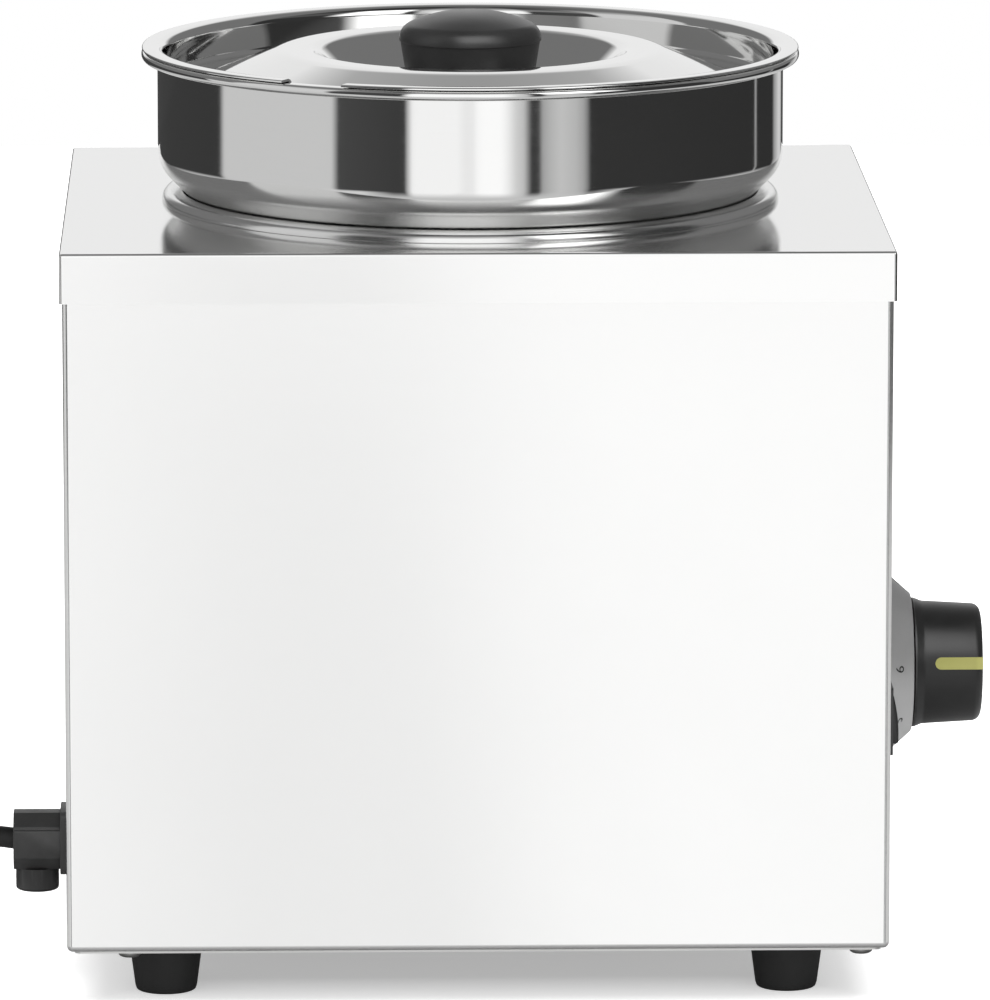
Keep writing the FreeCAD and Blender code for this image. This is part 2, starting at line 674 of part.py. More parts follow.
# Pot: deep-drawn, with a 45 degree shoulder over the well rim and a rolled bead.
pot = body("pot", z="cover_top")
turned(pot, [
    ("0", "pot_base"), ("neck_radius - pot_taper", "pot_base", "pot_corner"),
    ("neck_radius", "neck_radius + slope_rise", "neck_bend"),
    ("pot_radius", "pot_radius + slope_rise", "shoulder_bend"),
    ("pot_radius", "rim_height - pot_skin"), ("rim_radius - hook_width", "rim_height - pot_skin"),
    ("rim_radius - hook_width", "rim_height - bead_height", "0.5"),
    ("rim_radius", "rim_height - bead_height", "bead_round"), ("rim_radius", "rim_height", "bead_round"),
    ("pot_inner", "rim_height", "bead_round"),
    ("pot_inner", "pot_radius + slope_rise + fold_rise", "shoulder_bend - pot_skin"),
    ("neck_radius - pot_skin", "neck_radius + slope_rise + fold_rise", "neck_bend + pot_skin"),
    ("neck_radius - pot_taper - pot_skin", "pot_base + pot_skin", "pot_corner - pot_skin"),
    ("0", "pot_base + pot_skin"),
])

# Lid: its flange lies on the bead, with a gutter, a cone, a crest, a dish and a ladle notch.
lid = body("lid", z="lid_z", axis=Vector(0, 0, -1), turn=28.5)
lid.setExpression("Placement.Rotation.Angle", bound("ladle_angle"))
turned(lid, [
    ("lid_hole", "0 - dish_drop"), ("dish_radius + 0.3", "0 - dish_drop", "3"),
    ("crest_inner + 0.3", "0 - crest_drop", "6"), ("crest_outer", "0 - crest_drop", "12"),
    ("gutter_radius", "0 - lid_drop", "5"), ("lid_wall + lid_skin", "0 - lid_drop", "2.8"),
    ("lid_wall + lid_skin", "0", "0.4"), ("lid_radius", "0"),
    ("lid_radius", "lid_skin", "0.4"), ("lid_wall", "lid_skin", "1.2"),
    ("lid_wall", "lid_skin - lid_drop", "2"),
    ("gutter_radius", "lid_skin - lid_drop", "5"), ("crest_outer", "lid_skin - crest_drop", "12"),
    ("crest_inner", "lid_skin - crest_drop", "6"), ("dish_radius", "lid_skin - dish_drop", "3"),
    ("lid_hole", "lid_skin - dish_drop"),
])
drawing = sketch(lid, level="lid_skin + 1")
outline(drawing, [
    ("0 - ladle_width / 2", "0 - lid_radius - 1"), ("ladle_width / 2", "0 - lid_radius - 1"),
    ("ladle_width / 2", "ladle_depth - lid_radius", "5"),
    ("0 - ladle_width / 2", "ladle_depth - lid_radius", "5"),
])
pocket(lid, drawing, "lid_drop + 3")

# Lid knob: moulded mushroom in the dish, held by a screw and washer from below.
handle = body("lid_knob", z="lid_z + lid_skin - dish_drop")
turned(handle, [
    ("lid_screw_radius", "0"), ("handle_foot", "0", "0.5"),
    ("handle_radius - handle_lip", "handle_edge"), ("handle_radius", "handle_edge"),
    ("handle_radius", "handle_edge + handle_brow", "5.8"),
    ("0.414 * handle_radius", "handle_height", "48"), ("0", "handle_height"),
    ("0", "13"), ("lid_screw_radius", "12"),
])
washer = body("lid_washer", z="lid_z - dish_drop")
drawing = sketch(washer)
disc(drawing, "7")
disc(drawing, "lid_hole")
pad(washer, drawing, "1", down=True)
screw = body("lid_screw", z="lid_z - dish_drop - 1")
turned(screw, [
    ("0", "0 - 3"), ("4.6", "0 - 3", "2"), ("4.6", "0"), ("lid_screw_radius", "0"),
    ("lid_screw_radius", "12"), ("0", "12"),
])

# Thermostat: case behind the panel, bushing through it, shaft turning in the bushing.
thermostat = front("thermostat_body")
drawing = sketch(thermostat, level="0 - skin")
oblong(drawing, "thermo_tall", "thermo_wide", rounding="2")
pad(thermostat, drawing, "thermo_plate", down=True)
drawing = sketch(thermostat, level="0 - skin - thermo_plate")
oblong(drawing, "thermo_tall - 4", "thermo_wide - 4", rounding="2")
pad(thermostat, drawing, "thermo_deep", down=True)
drawing = sketch(thermostat, level="0 - skin")
disc(drawing, "bush_radius")
pad(thermostat, drawing, "skin + bush_end")
drawing = sketch(thermostat, level="bush_end")
disc(drawing, "shaft_radius + run_gap")
pocket(thermostat, drawing, "bush_end + skin + 12")
drawing = sketch(thermostat, level="0 - skin")
disc(drawing, "m_four", "0", "thermo_screw_pitch")
disc(drawing, "m_four", "0", "0 - thermo_screw_pitch")
pocket(thermostat, drawing, "7")
pattern = body("thermostat_tab", node=False)
drawing = sketch(pattern)
oblong(drawing, "tab_width", "tab_thick")
pad(pattern, drawing, "tab_length", down=True)
group("thermostat_tabs", pattern, [
    ("panel_x - skin - thermo_plate - 8", y, "control_z - thermo_tall / 2 + 2", None, 0)
    for y in ("6", "0 - 6")
])
shaft = knob_front("thermostat_shaft")
drawing = sketch(shaft, level="0 - skin - 11.5")
disc(drawing, "shaft_radius")
pad(shaft, drawing, "shaft_end + skin + 11.5")
drawing = sketch(shaft, level="shaft_end")
oblong(drawing, "2 * shaft_radius + 2", "shaft_radius", "0", "shaft_radius * 1.5 - shaft_flat")
pocket(shaft, drawing, "13")
pattern = body("thermostat_screw", node=False)
turned(pattern, [
    ("0", "0 - 7"), ("m_four", "0 - 7"), ("m_four", "0"), ("pan_head", "0"),
    ("pan_head", "pan_height", "pan_round"), ("0", "pan_height"),
])
group("thermostat_screws", pattern, [
    ("panel_x", y, "control_z", *OUT_FRONT) for y in ("thermo_screw_pitch", "0 - thermo_screw_pitch")
])

# Dial bezel: hollow moulded cone held to the panel by two pegs.
bezel = front("dial_bezel")
turned(bezel, [
    ("bezel_radius - bezel_wall", "0"), ("bezel_radius", "0"), ("bezel_radius", "bezel_edge"),
    ("bezel_top", "bezel_height", "0.6"), ("bezel_top - 5", "bezel_height"),
    ("bezel_top - 5", "bezel_height - bezel_wall"),
    ("bezel_top - bezel_wall", "bezel_height - bezel_wall"),
    ("bezel_radius - bezel_wall", "bezel_edge - 0.5"),
])
drawing = sketch(bezel, level="0 - 4")
disc(drawing, "peg_radius", "peg_reach")
disc(drawing, "peg_radius", "0 - peg_reach")
pad(bezel, drawing, "4 + bezel_edge")

# Control knob: hollow moulding with a hub on the shaft, and a coloured pointer let into it.
knob = knob_front("control_knob")
turned(knob, [
    ("hub_radius", "knob_start"), ("hub_radius", "knob_end - 4"),
    ("knob_waist - knob_wall", "knob_end - 4"), ("knob_waist - knob_wall", "knob_start"),
    ("knob_foot", "knob_start"), ("knob_waist", "knob_start + 3", "4"),
    ("knob_end_radius", "knob_end", "knob_corner"), ("0", "knob_end"), ("0", "knob_start"),
])
drawing = sketch(knob, level="knob_start")
disc(drawing, "shaft_radius + 0.01")
pocket(knob, drawing, "shaft_end - knob_start", up=True)
drawing = sketch(knob, level="shaft_end - 12")
oblong(drawing, "5", "1.8", "0", "shaft_radius - shaft_flat + 0.91")
pad(knob, drawing, "12")
drawing = sketch(knob, level="knob_end")
oblong(drawing, "pointer_width", "pointer_depth + 4", "0",
       "0 - knob_end_radius - 2 + pointer_depth / 2")
pocket(knob, drawing, "knob_end - pointer_start")
pointer = knob_front("knob_pointer")
drawing = sketch(pointer, level="pointer_start")
outline(drawing, [
    ("0 - pointer_width / 2", "0 - knob_end_radius - 0.1"),
    ("pointer_width / 2", "0 - knob_end_radius - 0.1"),
    ("pointer_width / 2", "pointer_depth - knob_end_radius"),
    ("0 - pointer_width / 2", "pointer_depth - knob_end_radius"),
])
pad(pointer, drawing, "knob_end - pointer_start - 0.6")

# Rocker switch: flanged case in the panel, rocker on two trunnions.
switch = front("switch_frame", "0 - switch_y")
drawing = sketch(switch)
oblong(drawing, "switch_tall", "switch_wide", rounding="1")
pad(switch, drawing, "switch_flange")
drawing = sketch(switch)
oblong(drawing, "case_tall", "case_wide")
pad(switch, drawing, "switch_deep", down=True)
drawing = sketch(switch, level="switch_flange")
oblong(drawing, "mouth_tall", "mouth_wide")
pocket(switch, drawing, "switch_flange + pivot_drop + 6.5")
drawing = sketch(switch, "XZ_Plane")
disc(drawing, "trunnion_radius + run_gap", "0", "0 - pivot_drop")
pocket(switch, drawing, "case_wide + 2", both=True)
rocker = body("rocker_button", "panel_x - pivot_drop", "0 - switch_y", "control_z", Vector(0, 1, 0), 80)
rocker.setExpression("Placement.Rotation.Angle", bound("90 - rocker_tilt"))
drawing = sketch(rocker, "XZ_Plane")
outline(drawing, [
    ("0 - rocker_half", "rocker_end", "1"), ("0 - rocker_half + 0.6", "1"), ("0 - 3", "0 - 3.5"),
    ("3", "0 - 3.5"), ("rocker_half - 0.6", "1"), ("rocker_half", "rocker_end", "1"),
    ("0", "rocker_crown", "50"),
])
pad(rocker, drawing, "rocker_wide", both=True)
drawing = sketch(rocker, "XZ_Plane")
disc(drawing, "trunnion_radius")
pad(rocker, drawing, "case_wide - 0.6", both=True)
pattern = body("switch_tab", node=False)
drawing = sketch(pattern)
oblong(drawing, "tab_thick", "tab_width")
pad(pattern, drawing, "tab_length", down=True)
group("switch_tabs", pattern, [
    ("panel_x - switch_deep", "0 - switch_y", z, *OUT_FRONT) for z in ("control_z + 5", "control_z - 5")
])

# Cord gland: threaded body through the panel, clamp bridge on top, pressure screw from below, nut inside.
gland = back("gland_body")
drawing = sketch(gland)
oblong(drawing, "gland_flange", "gland_flange", rounding="2.5")
pad(gland, drawing, "gland_flange_thick")
drawing = sketch(gland)
outline(drawing, [
    ("0 - gland_block / 2", "0 - gland_block / 2", "1.2"), ("bridge_low", "0 - gland_block / 2"),
    ("bridge_low", "gland_block / 2"), ("0 - gland_block / 2", "gland_block / 2", "1.2"),
])
pad(gland, drawing, "gland_depth")
drawing = sketch(gland)
disc(drawing, "gland_neck")
pad(gland, drawing, "gland_neck_length", down=True)
drawing = sketch(gland, level="gland_depth")
disc(drawing, "cord_radius + run_gap")
pocket(gland, drawing)
drawing = sketch(gland, "YZ_Plane", level="0 - gland_block / 2")
disc(drawing, "clamp_thread + run_gap", "0", "clamp_reach")
pocket(gland, drawing, "gland_block / 2", up=True)
bridge = back("gland_clamp")
drawing = sketch(bridge, level="gland_flange_thick")
outline(drawing, [
    ("bridge_low + 0.1", "0 - gland_block / 2"), ("bridge_low + bridge_side", "0 - gland_block / 2", "0.8"),
    ("gland_block / 2", "0 - bridge_top / 2", "0.8"), ("gland_block / 2", "bridge_top / 2", "0.8"),
    ("bridge_low + bridge_side", "gland_block / 2", "0.8"), ("bridge_low + 0.1", "gland_block / 2"),
])
pad(bridge, drawing, "gland_depth - gland_flange_thick")
drawing = sketch(bridge, level="gland_depth")
disc(drawing, "cord_radius + run_gap")
pocket(bridge, drawing)
clamp = back("clamp_screw")
drawing = sketch(clamp, "YZ_Plane", level="0 - gland_block / 2")
disc(drawing, "clamp_radius", "0", "clamp_reach")
pad(clamp, drawing, "clamp_head", down=True)
fillet(clamp, edges(clamp, lambda p: near(p.x, "0 - gland_block / 2 - clamp_head")), "1")
drawing = sketch(clamp, "YZ_Plane", level="0 - gland_block / 2")
disc(drawing, "clamp_thread", "0", "clamp_reach")
pad(clamp, drawing, "gland_block / 2 - cord_radius - 0.1")
drawing = sketch(clamp, "YZ_Plane", level="0 - gland_block / 2 - clamp_head")
oblong(drawing, "clamp_slot", "3 * clamp_radius", "0", "clamp_reach")
pocket(clamp, drawing, "clamp_slot", up=True)
nut = back("gland_nut")
drawing = sketch(nut, level="0 - skin")
hexagon(drawing, "gland_nut_flat")
disc(drawing, "gland_neck + run_gap")
pad(nut, drawing, "gland_nut_height", down=True)
inlet = back("cord_inlet")
drawing = sketch(inlet, level="gland_depth")
disc(drawing, "cord_radius")
pad(inlet, drawing, "gland_depth + gland_neck_length + 8", down=True)

# Terminal block on the base plate, and the earth stud beside it.
block = body("terminal_block", "block_x", "block_y", "casing_floor")
drawing = sketch(block)
oblong(drawing, "block_wide", "block_long", rounding="1.5")
pad(block, drawing, "block_tall")
drawing = sketch(block, level="block_tall")
for y in ("terminal_pitch", "0", "0 - terminal_pitch"):
    disc(drawing, "terminal_well", "block_wide / 4", y)
    disc(drawing, "terminal_well", "0 - block_wide / 4", y)
pocket(block, drawing, "block_tall - terminal_floor")
pattern = body("terminal_screw", node=False)
turned(pattern, [("0", "0"), ("terminal_well - 0.1", "0"), ("terminal_well - 0.1", "4"), ("0", "4")])
spots = []
for x in ("block_x - block_wide / 4", "block_x + block_wide / 4"):
    for y in ("block_y + terminal_pitch", "block_y", "block_y - terminal_pitch"):
        spots.append((x, y, "casing_floor + terminal_floor", None, 0))
group("terminal_screws", pattern, spots)
stud = body("earth_stud", "body_x - 96", "0 - 40", "casing_floor")
drawing = sketch(stud)
disc(drawing, "2.5")
pad(stud, drawing, "14")
nut = body("earth_nut", "body_x - 96", "0 - 40", "casing_floor + 3")
drawing = sketch(nut)
hexagon(drawing, "8")
disc(drawing, "2.5 + run_gap")
pad(nut, drawing, "4")

# Sensor: bulb on the well wall under a clip, joined to the thermostat by a capillary tube.
SENSOR_TURN = 50
bulb = body("sensor_bulb", "body_x", "0", "cover_top - 145", Vector(0, 0, 1), SENSOR_TURN)
drawing = sketch(bulb)
disc(drawing, "3", "well_outer + 3.1")
pad(bulb, drawing, "70")
clip = body("bulb_clip", "body_x", "0", "cover_top - 116", Vector(0, 0, 1), SENSOR_TURN)
drawing = sketch(clip)
outline(drawing, [
    ("well_outer + 0.1", "0 - 10"), ("well_outer + 0.9", "0 - 10"), ("well_outer + 0.9", "0 - 4.2"),
    ("well_outer + 7.3", "0 - 4.2", "3"), ("well_outer + 7.3", "4.2", "3"), ("well_outer + 0.9", "4.2"),
    ("well_outer + 0.9", "10"), ("well_outer + 0.1", "10"), ("well_outer + 0.1", "3.4"),
    ("well_outer + 6.5", "3.4", "2.2"), ("well_outer + 6.5", "0 - 3.4", "2.2"),
    ("well_outer + 0.1", "0 - 3.4"),
])
pad(clip, drawing, "12")


def rounded_route(points, label):
    """Straight runs joined by tangent arcs."""
    parts = []
    start = points[0]
    radii = []
    for last, here, after in zip(points, points[1:], points[2:]):
        back_way = last - here
        on_way = after - here
        reach = 0.45 * min(back_way.Length, on_way.Length)
        half_turn = (math.pi - back_way.getAngle(on_way)) / 2
        radius = reach / math.tan(half_turn)
        radii.append(radius)
        back_way.normalize()
        on_way.normalize()
        first = here + back_way * reach
        second = here + on_way * reach
        inward = (back_way + on_way).normalize()
        middle = here + inward * (radius / math.cos(half_turn) - radius)
        parts.append(Part.LineSegment(start, first).toShape())
        parts.append(Part.Arc(first, middle, second).toShape())
        start = second
    parts.append(Part.LineSegment(start, points[-1]).toShape())
    print(label, "bend radii", [round(radius, 1) for radius in radii])
    return Part.Wire(parts)


def tube(label, path, radius):
    """Round tube along a path, checked against section times length."""
    first = path.OrderedEdges[0]
    start = first.valueAt(first.FirstParameter)
    heading = first.tangentAt(first.FirstParameter)
    ring = Part.Wire([Part.Circle(start, heading, radius).toShape()])
    shape = path.makePipeShell([ring], True, False)
    solid = shape if shape.ShapeType == "Solid" else shape.Solids[0]
    expected = math.pi * radius ** 2 * path.Length
    print(label, "length", round(path.Length, 1), "volume ratio", round(solid.Volume / expected, 4))
    holder = doc.addObject("Part::Feature", label)
    holder.Label = label
    holder.Shape = solid
    NODES.append(holder)
    return holder


body_x = size("body_x")
panel_x = size("panel_x")
control_z = size("control_z")
cover_top = size("cover_top")

# Capillary tube from the thermostat to the bottom of the bulb.
bulb_reach = size("well_outer + 3.1")
bulb_x = body_x + bulb_reach * math.cos(math.radians(SENSOR_TURN))
bulb_y = bulb_reach * math.sin(math.radians(SENSOR_TURN))
bulb_z = cover_top - 145
case_side = size("thermo_wide / 2 - 2")
tube("capillary_tube", rounded_route([
    Vector(panel_x - 14, case_side, control_z + 8), Vector(panel_x - 14, case_side + 22, control_z + 8),
    Vector(panel_x - 22, bulb_y - 14, control_z - 6), Vector(bulb_x + 26, bulb_y + 6, bulb_z - 32),
    Vector(bulb_x, bulb_y, bulb_z - 30), Vector(bulb_x, bulb_y, bulb_z),
], "capillary_tube"), 1)

# Mains lead: free stretch from the gland down to the floor and round to the west point of the coil.
cord_radius = size("cord_radius")
gland_face = size("cord_panel_x - gland_depth")
gland_y = -size("gland_y")
gland_z = size("gland_z")
west = size("coil_west")
coil_y = size("coil_y")
low = size("coil_low")
high = size("coil_high")
lead = 2 * cord_radius
power_route = [
    Vector(gland_face, gland_y, gland_z),
    Vector(gland_face - 20, gland_y, gland_z),
    Vector(gland_face - 55, gland_y + 1.5, gland_z - 6),
    Vector(west + 28.5, coil_y - 65.5, low + 17),
    Vector(west + 8, coil_y - 49, low + 4.6),
    Vector(west, coil_y - 27, low),
    Vector(west, coil_y - lead, low),
]
tube("power_cord", rounded_route(power_route, "power_cord"), cord_radius)

# Coil: in along the lower layer, up a layer while the spiral turns back, and out along the upper layer.
coil_x = size("coil_centre_x")
outer = size("coil_radius")
pitch = size("coil_pitch")
layer_turns = size("coil_turns")
lift = size("coil_lift")
all_turns = 2 * layer_turns + 0.5


def coil_point(turns):
    climb = turns - layer_turns
    if climb <= 0:
        radius = outer - pitch * turns
        height = low
    elif climb >= 0.5:
        radius = outer - pitch * (all_turns - turns)
        height = high
    else:
        radius = outer - pitch * layer_turns - pitch * (climb - 2 * climb * climb)
        share = climb / 0.5
        height = low + lift * (3 * share ** 2 - 2 * share ** 3)
    angle = math.pi - 2 * math.pi * turns
    return Vector(coil_x + radius * math.cos(angle), coil_y + radius * math.sin(angle), height)


def coil_heading(turns):
    if turns in (0, all_turns):
        return Vector(0, 1, 0)
    return (coil_point(turns + 1e-5) - coil_point(turns - 1e-5)).normalize()


def biarc(first, first_way, last, last_way):
    """Two tangent arcs between two points with given headings."""
    span = last - first
    both = first_way + last_way
    fold = 2 * (1 - first_way.dot(last_way))
    along = span.dot(both)
    reach = (math.sqrt(along ** 2 + fold * span.dot(span)) - along) / fold
    joint = (first + first_way * reach + last - last_way * reach) * 0.5
    curves = []
    for begin, way, end in ((first, first_way, joint), (joint, None, last)):
        if way is None:
            way = (joint - first - first_way * reach).normalize()
        chord = end - begin
        sag = chord.Length / 2 * math.tan(way.getAngle(chord) / 2)
        outward = (way - chord * (way.dot(chord) / chord.dot(chord))).normalize()
        middle = (begin + end) * 0.5 + outward * sag
        curves.append(Part.Arc(begin, middle, end).toShape())
    return curves


steps = round(all_turns * 4)
stops = [index / 4 for index in range(steps + 1)]
lead_in = Vector(west, coil_y - lead, low)
lead_out = Vector(west, coil_y + lead, high)
parts = [Part.LineSegment(lead_in, coil_point(0)).toShape()]
for here, there in zip(stops, stops[1:]):
    parts += biarc(coil_point(here), coil_heading(here), coil_point(there), coil_heading(there))
parts.append(Part.LineSegment(coil_point(all_turns), lead_out).toShape())
coil_path = Part.Wire(parts)
tube("cord_coil", coil_path, cord_radius)
samples = coil_path.discretize(Distance=2.0)
skip = 12
least = min(
    (samples[j] - samples[i]).Length
    for i in range(len(samples)) for j in range(i + skip, len(samples))
)
print("coil: least gap between turns", round(least - 2 * cord_radius, 2))

# Tail: from the coil up to the axis of the plug.
plug_y = size("plug_y")
plug_z = size("plug_z")
tail_route = [
    Vector(west, coil_y + lead, high), Vector(west, plug_y - 35, high),
    Vector(west, plug_y - 14, plug_z), Vector(west, plug_y, plug_z),
]
tube("cord_tail", rounded_route(tail_route, "cord_tail"), cord_radius)

# Tie: band round the bundle of turns.
tie = body("coil_tie", "coil_centre_x", "coil_y", "0", Vector(0, 0, 1), 135)
drawing = sketch(tie, "XZ_Plane")
middle_x = "coil_radius - coil_pitch * coil_turns / 2"
middle_z = "(coil_low + coil_high) / 2"
tie_wide = "coil_pitch * (coil_turns - 0.25) + 2 * cord_radius + 2 * tie_side_gap"
tie_tall = "coil_lift + 2 * cord_radius + 2 * tie_gap"
oblong(drawing, tie_wide + " + 2 * tie_thick", tie_tall + " + 2 * tie_thick", middle_x, middle_z, "3")
oblong(drawing, tie_wide, tie_tall, middle_x, middle_z, "2")
pad(tie, drawing, "tie_width", both=True)

# Plug: moulded body with a strain relief, two pins, lying on the floor.
TOWARD_BACK = (Vector(1, 0, 0), -90)
plug = body("plug_body", "coil_west", "plug_y", "plug_z", *TOWARD_BACK)
turned(plug, [
    ("0", "0"), ("4.8", "0"), ("6.5", "relief_length"), ("9", "relief_length"),
    ("15.5", "relief_length + 12", "6"), ("plug_radius", "relief_length + 20", "4"),
    ("plug_radius", "relief_length + plug_length", "1"), ("0", "relief_length + plug_length"),
])
pattern = body("plug_pin", node=False)
turned(pattern, [
    ("0", "0"), ("pin_radius", "0"), ("pin_radius", "pin_length", "1.6"), ("0", "pin_length"),
])
group("plug_pins", pattern, [
    (f"coil_west + ({x})", "plug_y + relief_length + plug_length", "plug_z", *TOWARD_BACK)
    for x in ("pin_pitch", "0 - pin_pitch")
])

doc.recompute()

# Every feature has to change its piece the way it should, and every piece has to be a sound solid.
for made, before, grows in CHANGES:
    if before is None or before.TypeId == "Sketcher::SketchObject":
        continue
    change = made.Shape.Volume - before.Shape.Volume
    assert (change > 1e-6) if grows else (change < -1e-6), (made.Name, change)
for thing in doc.Objects:
    assert "Invalid" not in thing.State and "Error" not in thing.State, (thing.Name, thing.State)
for node in NODES:
    shape = node.Shape
    assert not shape.isNull() and shape.isValid() and shape.Solids, node.Label
    shape.exportStep(f"parts/{node.Label}.step")
print(len(NODES), "nodes written")
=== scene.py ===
import math

import bmesh
import bpy
from mathutils import Matrix, Vector


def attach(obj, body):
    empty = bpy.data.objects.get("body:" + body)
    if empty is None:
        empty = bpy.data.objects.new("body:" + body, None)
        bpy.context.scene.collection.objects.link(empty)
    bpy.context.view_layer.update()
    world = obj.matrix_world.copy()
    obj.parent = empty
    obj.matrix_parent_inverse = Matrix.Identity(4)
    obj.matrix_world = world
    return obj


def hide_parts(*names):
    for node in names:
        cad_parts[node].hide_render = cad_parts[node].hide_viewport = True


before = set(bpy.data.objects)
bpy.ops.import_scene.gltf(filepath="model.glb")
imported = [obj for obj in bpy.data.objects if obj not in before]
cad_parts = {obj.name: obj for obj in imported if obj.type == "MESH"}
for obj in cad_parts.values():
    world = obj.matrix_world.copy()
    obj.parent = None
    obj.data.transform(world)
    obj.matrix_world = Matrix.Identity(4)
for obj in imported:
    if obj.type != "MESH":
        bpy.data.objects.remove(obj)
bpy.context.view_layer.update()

# Studio: a camera with a long lens three metres in front of the plain side, and a round white table.
# Polished steel mirrors the upright screens round it, a white sweep behind it and a dark room above.
MM = 0.001
scene = bpy.context.scene
scene.view_settings.view_transform = "Standard"
CAMERA_PLACE = Vector((-77.45, -3094.74, 703.45)) * MM
CAMERA_YAW = 0.0246
CAMERA_PITCH = 0.17877
CAMERA_ROLL = 0.00028
camera_data = bpy.data.cameras.new("photo_camera")
camera_data.lens = 343.28
camera_data.sensor_width = 36
camera_data.clip_end = 50
camera = bpy.data.objects.new("photo_camera", camera_data)
look = Vector((math.sin(CAMERA_YAW) * math.cos(CAMERA_PITCH),
               math.cos(CAMERA_YAW) * math.cos(CAMERA_PITCH), -math.sin(CAMERA_PITCH)))
right = look.cross(Vector((0, 0, 1))).normalized()
above = right.cross(look)
side = right * math.cos(CAMERA_ROLL) + above * math.sin(CAMERA_ROLL)
above = above * math.cos(CAMERA_ROLL) - right * math.sin(CAMERA_ROLL)
camera_turn = Matrix((side, above, -look)).transposed().to_4x4()
camera.matrix_world = Matrix.Translation(CAMERA_PLACE) @ camera_turn
scene.collection.objects.link(camera)
scene.camera = camera


def grey(tone):
    """A grey as a colour."""
    return (tone, tone, tone, 1)


def add(tree, kind, inputs=None, **settings):
    """A node with its settings, and with its inputs set to values or joined to (node, output)."""
    made = tree.nodes.new("ShaderNode" + kind)
    for name, value in settings.items():
        setattr(made, name, value)
    for name, value in (inputs or {}).items():
        if isinstance(value, tuple) and isinstance(value[0], bpy.types.Node):
            tree.links.new(value[0].outputs[value[1]], made.inputs[name])
        else:
            made.inputs[name].default_value = value
    return made


def reckon(tree, operation, *values):
    """One sum, product or other operation on values."""
    return add(tree, "Math", dict(enumerate(values)), operation=operation)


def spread(tree, value, over, to=(0.0, 1.0)):
    """A straight change of a value from one pair of ends to another, held beyond them."""
    return add(tree, "MapRange", {"Value": value, "From Min": over[0], "From Max": over[1],
                                  "To Min": to[0], "To Max": to[1]})


def blend(tree, share, first, second, mode="MIX"):
    """Two colours mixed by a share, or one laid over the other."""
    return add(tree, "MixRGB", {"Fac": share, "Color1": first, "Color2": second}, blend_type=mode)


def ramp(tree, value, stops):
    """Tones along a value: (place, grey or colour) stops."""
    made = add(tree, "ValToRGB", {"Fac": value})
    steps = made.color_ramp.elements
    while len(steps) > 1:
        steps.remove(steps[-1])
    for number, (place, tone) in enumerate(stops):
        step = steps[0] if number == 0 else steps.new(place)
        step.position = place
        step.color = (*tone, 1) if isinstance(tone, tuple) else grey(tone)
    return made


def by_bearing(tree, split_way, backward, stops):
    """Tones round the horizon, (degrees to the right of the camera, tone), for a way out (-1) or in (1)."""
    ahead = reckon(tree, "MULTIPLY", (split_way, "Y"), backward)
    aside = reckon(tree, "MULTIPLY", (split_way, "X"), -backward)
    bearing = reckon(tree, "ARCTAN2", (aside, "Value"), (ahead, "Value"))
    turned = spread(tree, (bearing, "Value"), (-math.pi, math.pi))
    return ramp(tree, (turned, "Result"), [((angle + 180) / 360, tone) for angle, tone in stops])


# Upright screens as the steel sees them: degrees to the right of the camera, tone.
SCREENS = [
    (-180, 0.06), (-150, 0.05), (-107, 0.045), (-104, 0.67), (-53, 0.67), (-51, 0.07), (-24.9, 0.05),
    (-24.2, 0.5), (-22.3, 1.1), (9.8, 1.1), (12, 1.0), (15.4, 0.7), (19.1, 0.55), (20.3, 0.05),
    (23.8, 0.04), (25.3, 0.40), (28, 0.50), (32, 0.60), (38, 0.52), (41.5, 0.38), (43.5, 0.035),
    (128.6, 0.03), (129, 0.40), (130, 0.40), (130.4, 0.03), (148, 0.03), (150, 0.3), (158, 0.65),
    (163, 0.60), (165, 0.06),
]
SCREEN_TOPS = [(0.48, 0), (0.66, 1)]
# Above the screens: tones by height, less of them away from the middle, and one soft box.
UPPER_ROOM = [(0.50, 0.95), (0.66, 0.68), (0.80, 0.42), (0.90, 0.20), (1.0, 0.10)]
UPPER_SHARE = [
    (-180, 0.20), (-107, 0.12), (-103, 0.75), (-55, 0.75), (-50, 0.35), (-28, 0.35), (-22, 1.0),
    (18, 1.0), (22, 0.5), (43, 0.35), (50, 0.15), (180, 0.15),
]
SOFT_BOX = 1.7
SOFT_BOX_WIDE = [(24, 0), (27, 1), (48, 1), (58, 0)]
SOFT_BOX_HIGH = [(0.20, 0), (0.24, 1), (0.78, 1), (0.84, 0)]
# Behind: the white sweep by depth, dark beside it. Matt pieces are lit more from low down.
SWEEP = [(0.0, 0.11), (0.35, 0.17), (0.58, 0.26), (0.76, 0.44), (0.86, 0.86), (1.0, 0.88)]
SWEEP_SIDE = 0.18
SWEEP_EDGE = (0.28, 0.40)
SWEEP_DEPTH = (0.0, 0.06)
SWEEP_FOOT = (0.0, 0.04)
LIGHT_ON_MATT = [(0.0, 1.05), (0.20, 0.95), (0.45, 0.40), (1.0, 0.18)]
world = bpy.data.worlds.new("studio_room")
scene.world = world
world.use_nodes = True
room = world.node_tree
room.nodes.clear()
way = add(room, "TexCoord")
split = add(room, "SeparateXYZ", {"Vector": (way, "Generated")})
screens = by_bearing(room, split, -1.0, SCREENS)
height_tone = ramp(room, (split, "Z"), UPPER_ROOM)
upper_share = by_bearing(room, split, -1.0, UPPER_SHARE)
upper = blend(room, 1.0, (height_tone, "Color"), (upper_share, "Color"), "MULTIPLY")
over_screens = ramp(room, (split, "Z"), SCREEN_TOPS)
front = blend(room, (over_screens, "Color"), (screens, "Color"), (upper, "Color"))
box_side = by_bearing(room, split, -1.0, SOFT_BOX_WIDE)
box_height = ramp(room, (split, "Z"), SOFT_BOX_HIGH)
box_share = reckon(room, "MULTIPLY", (box_side, "Color"), (box_height, "Color"))
lit_front = blend(room, (box_share, "Value"), (front, "Color"), grey(SOFT_BOX))
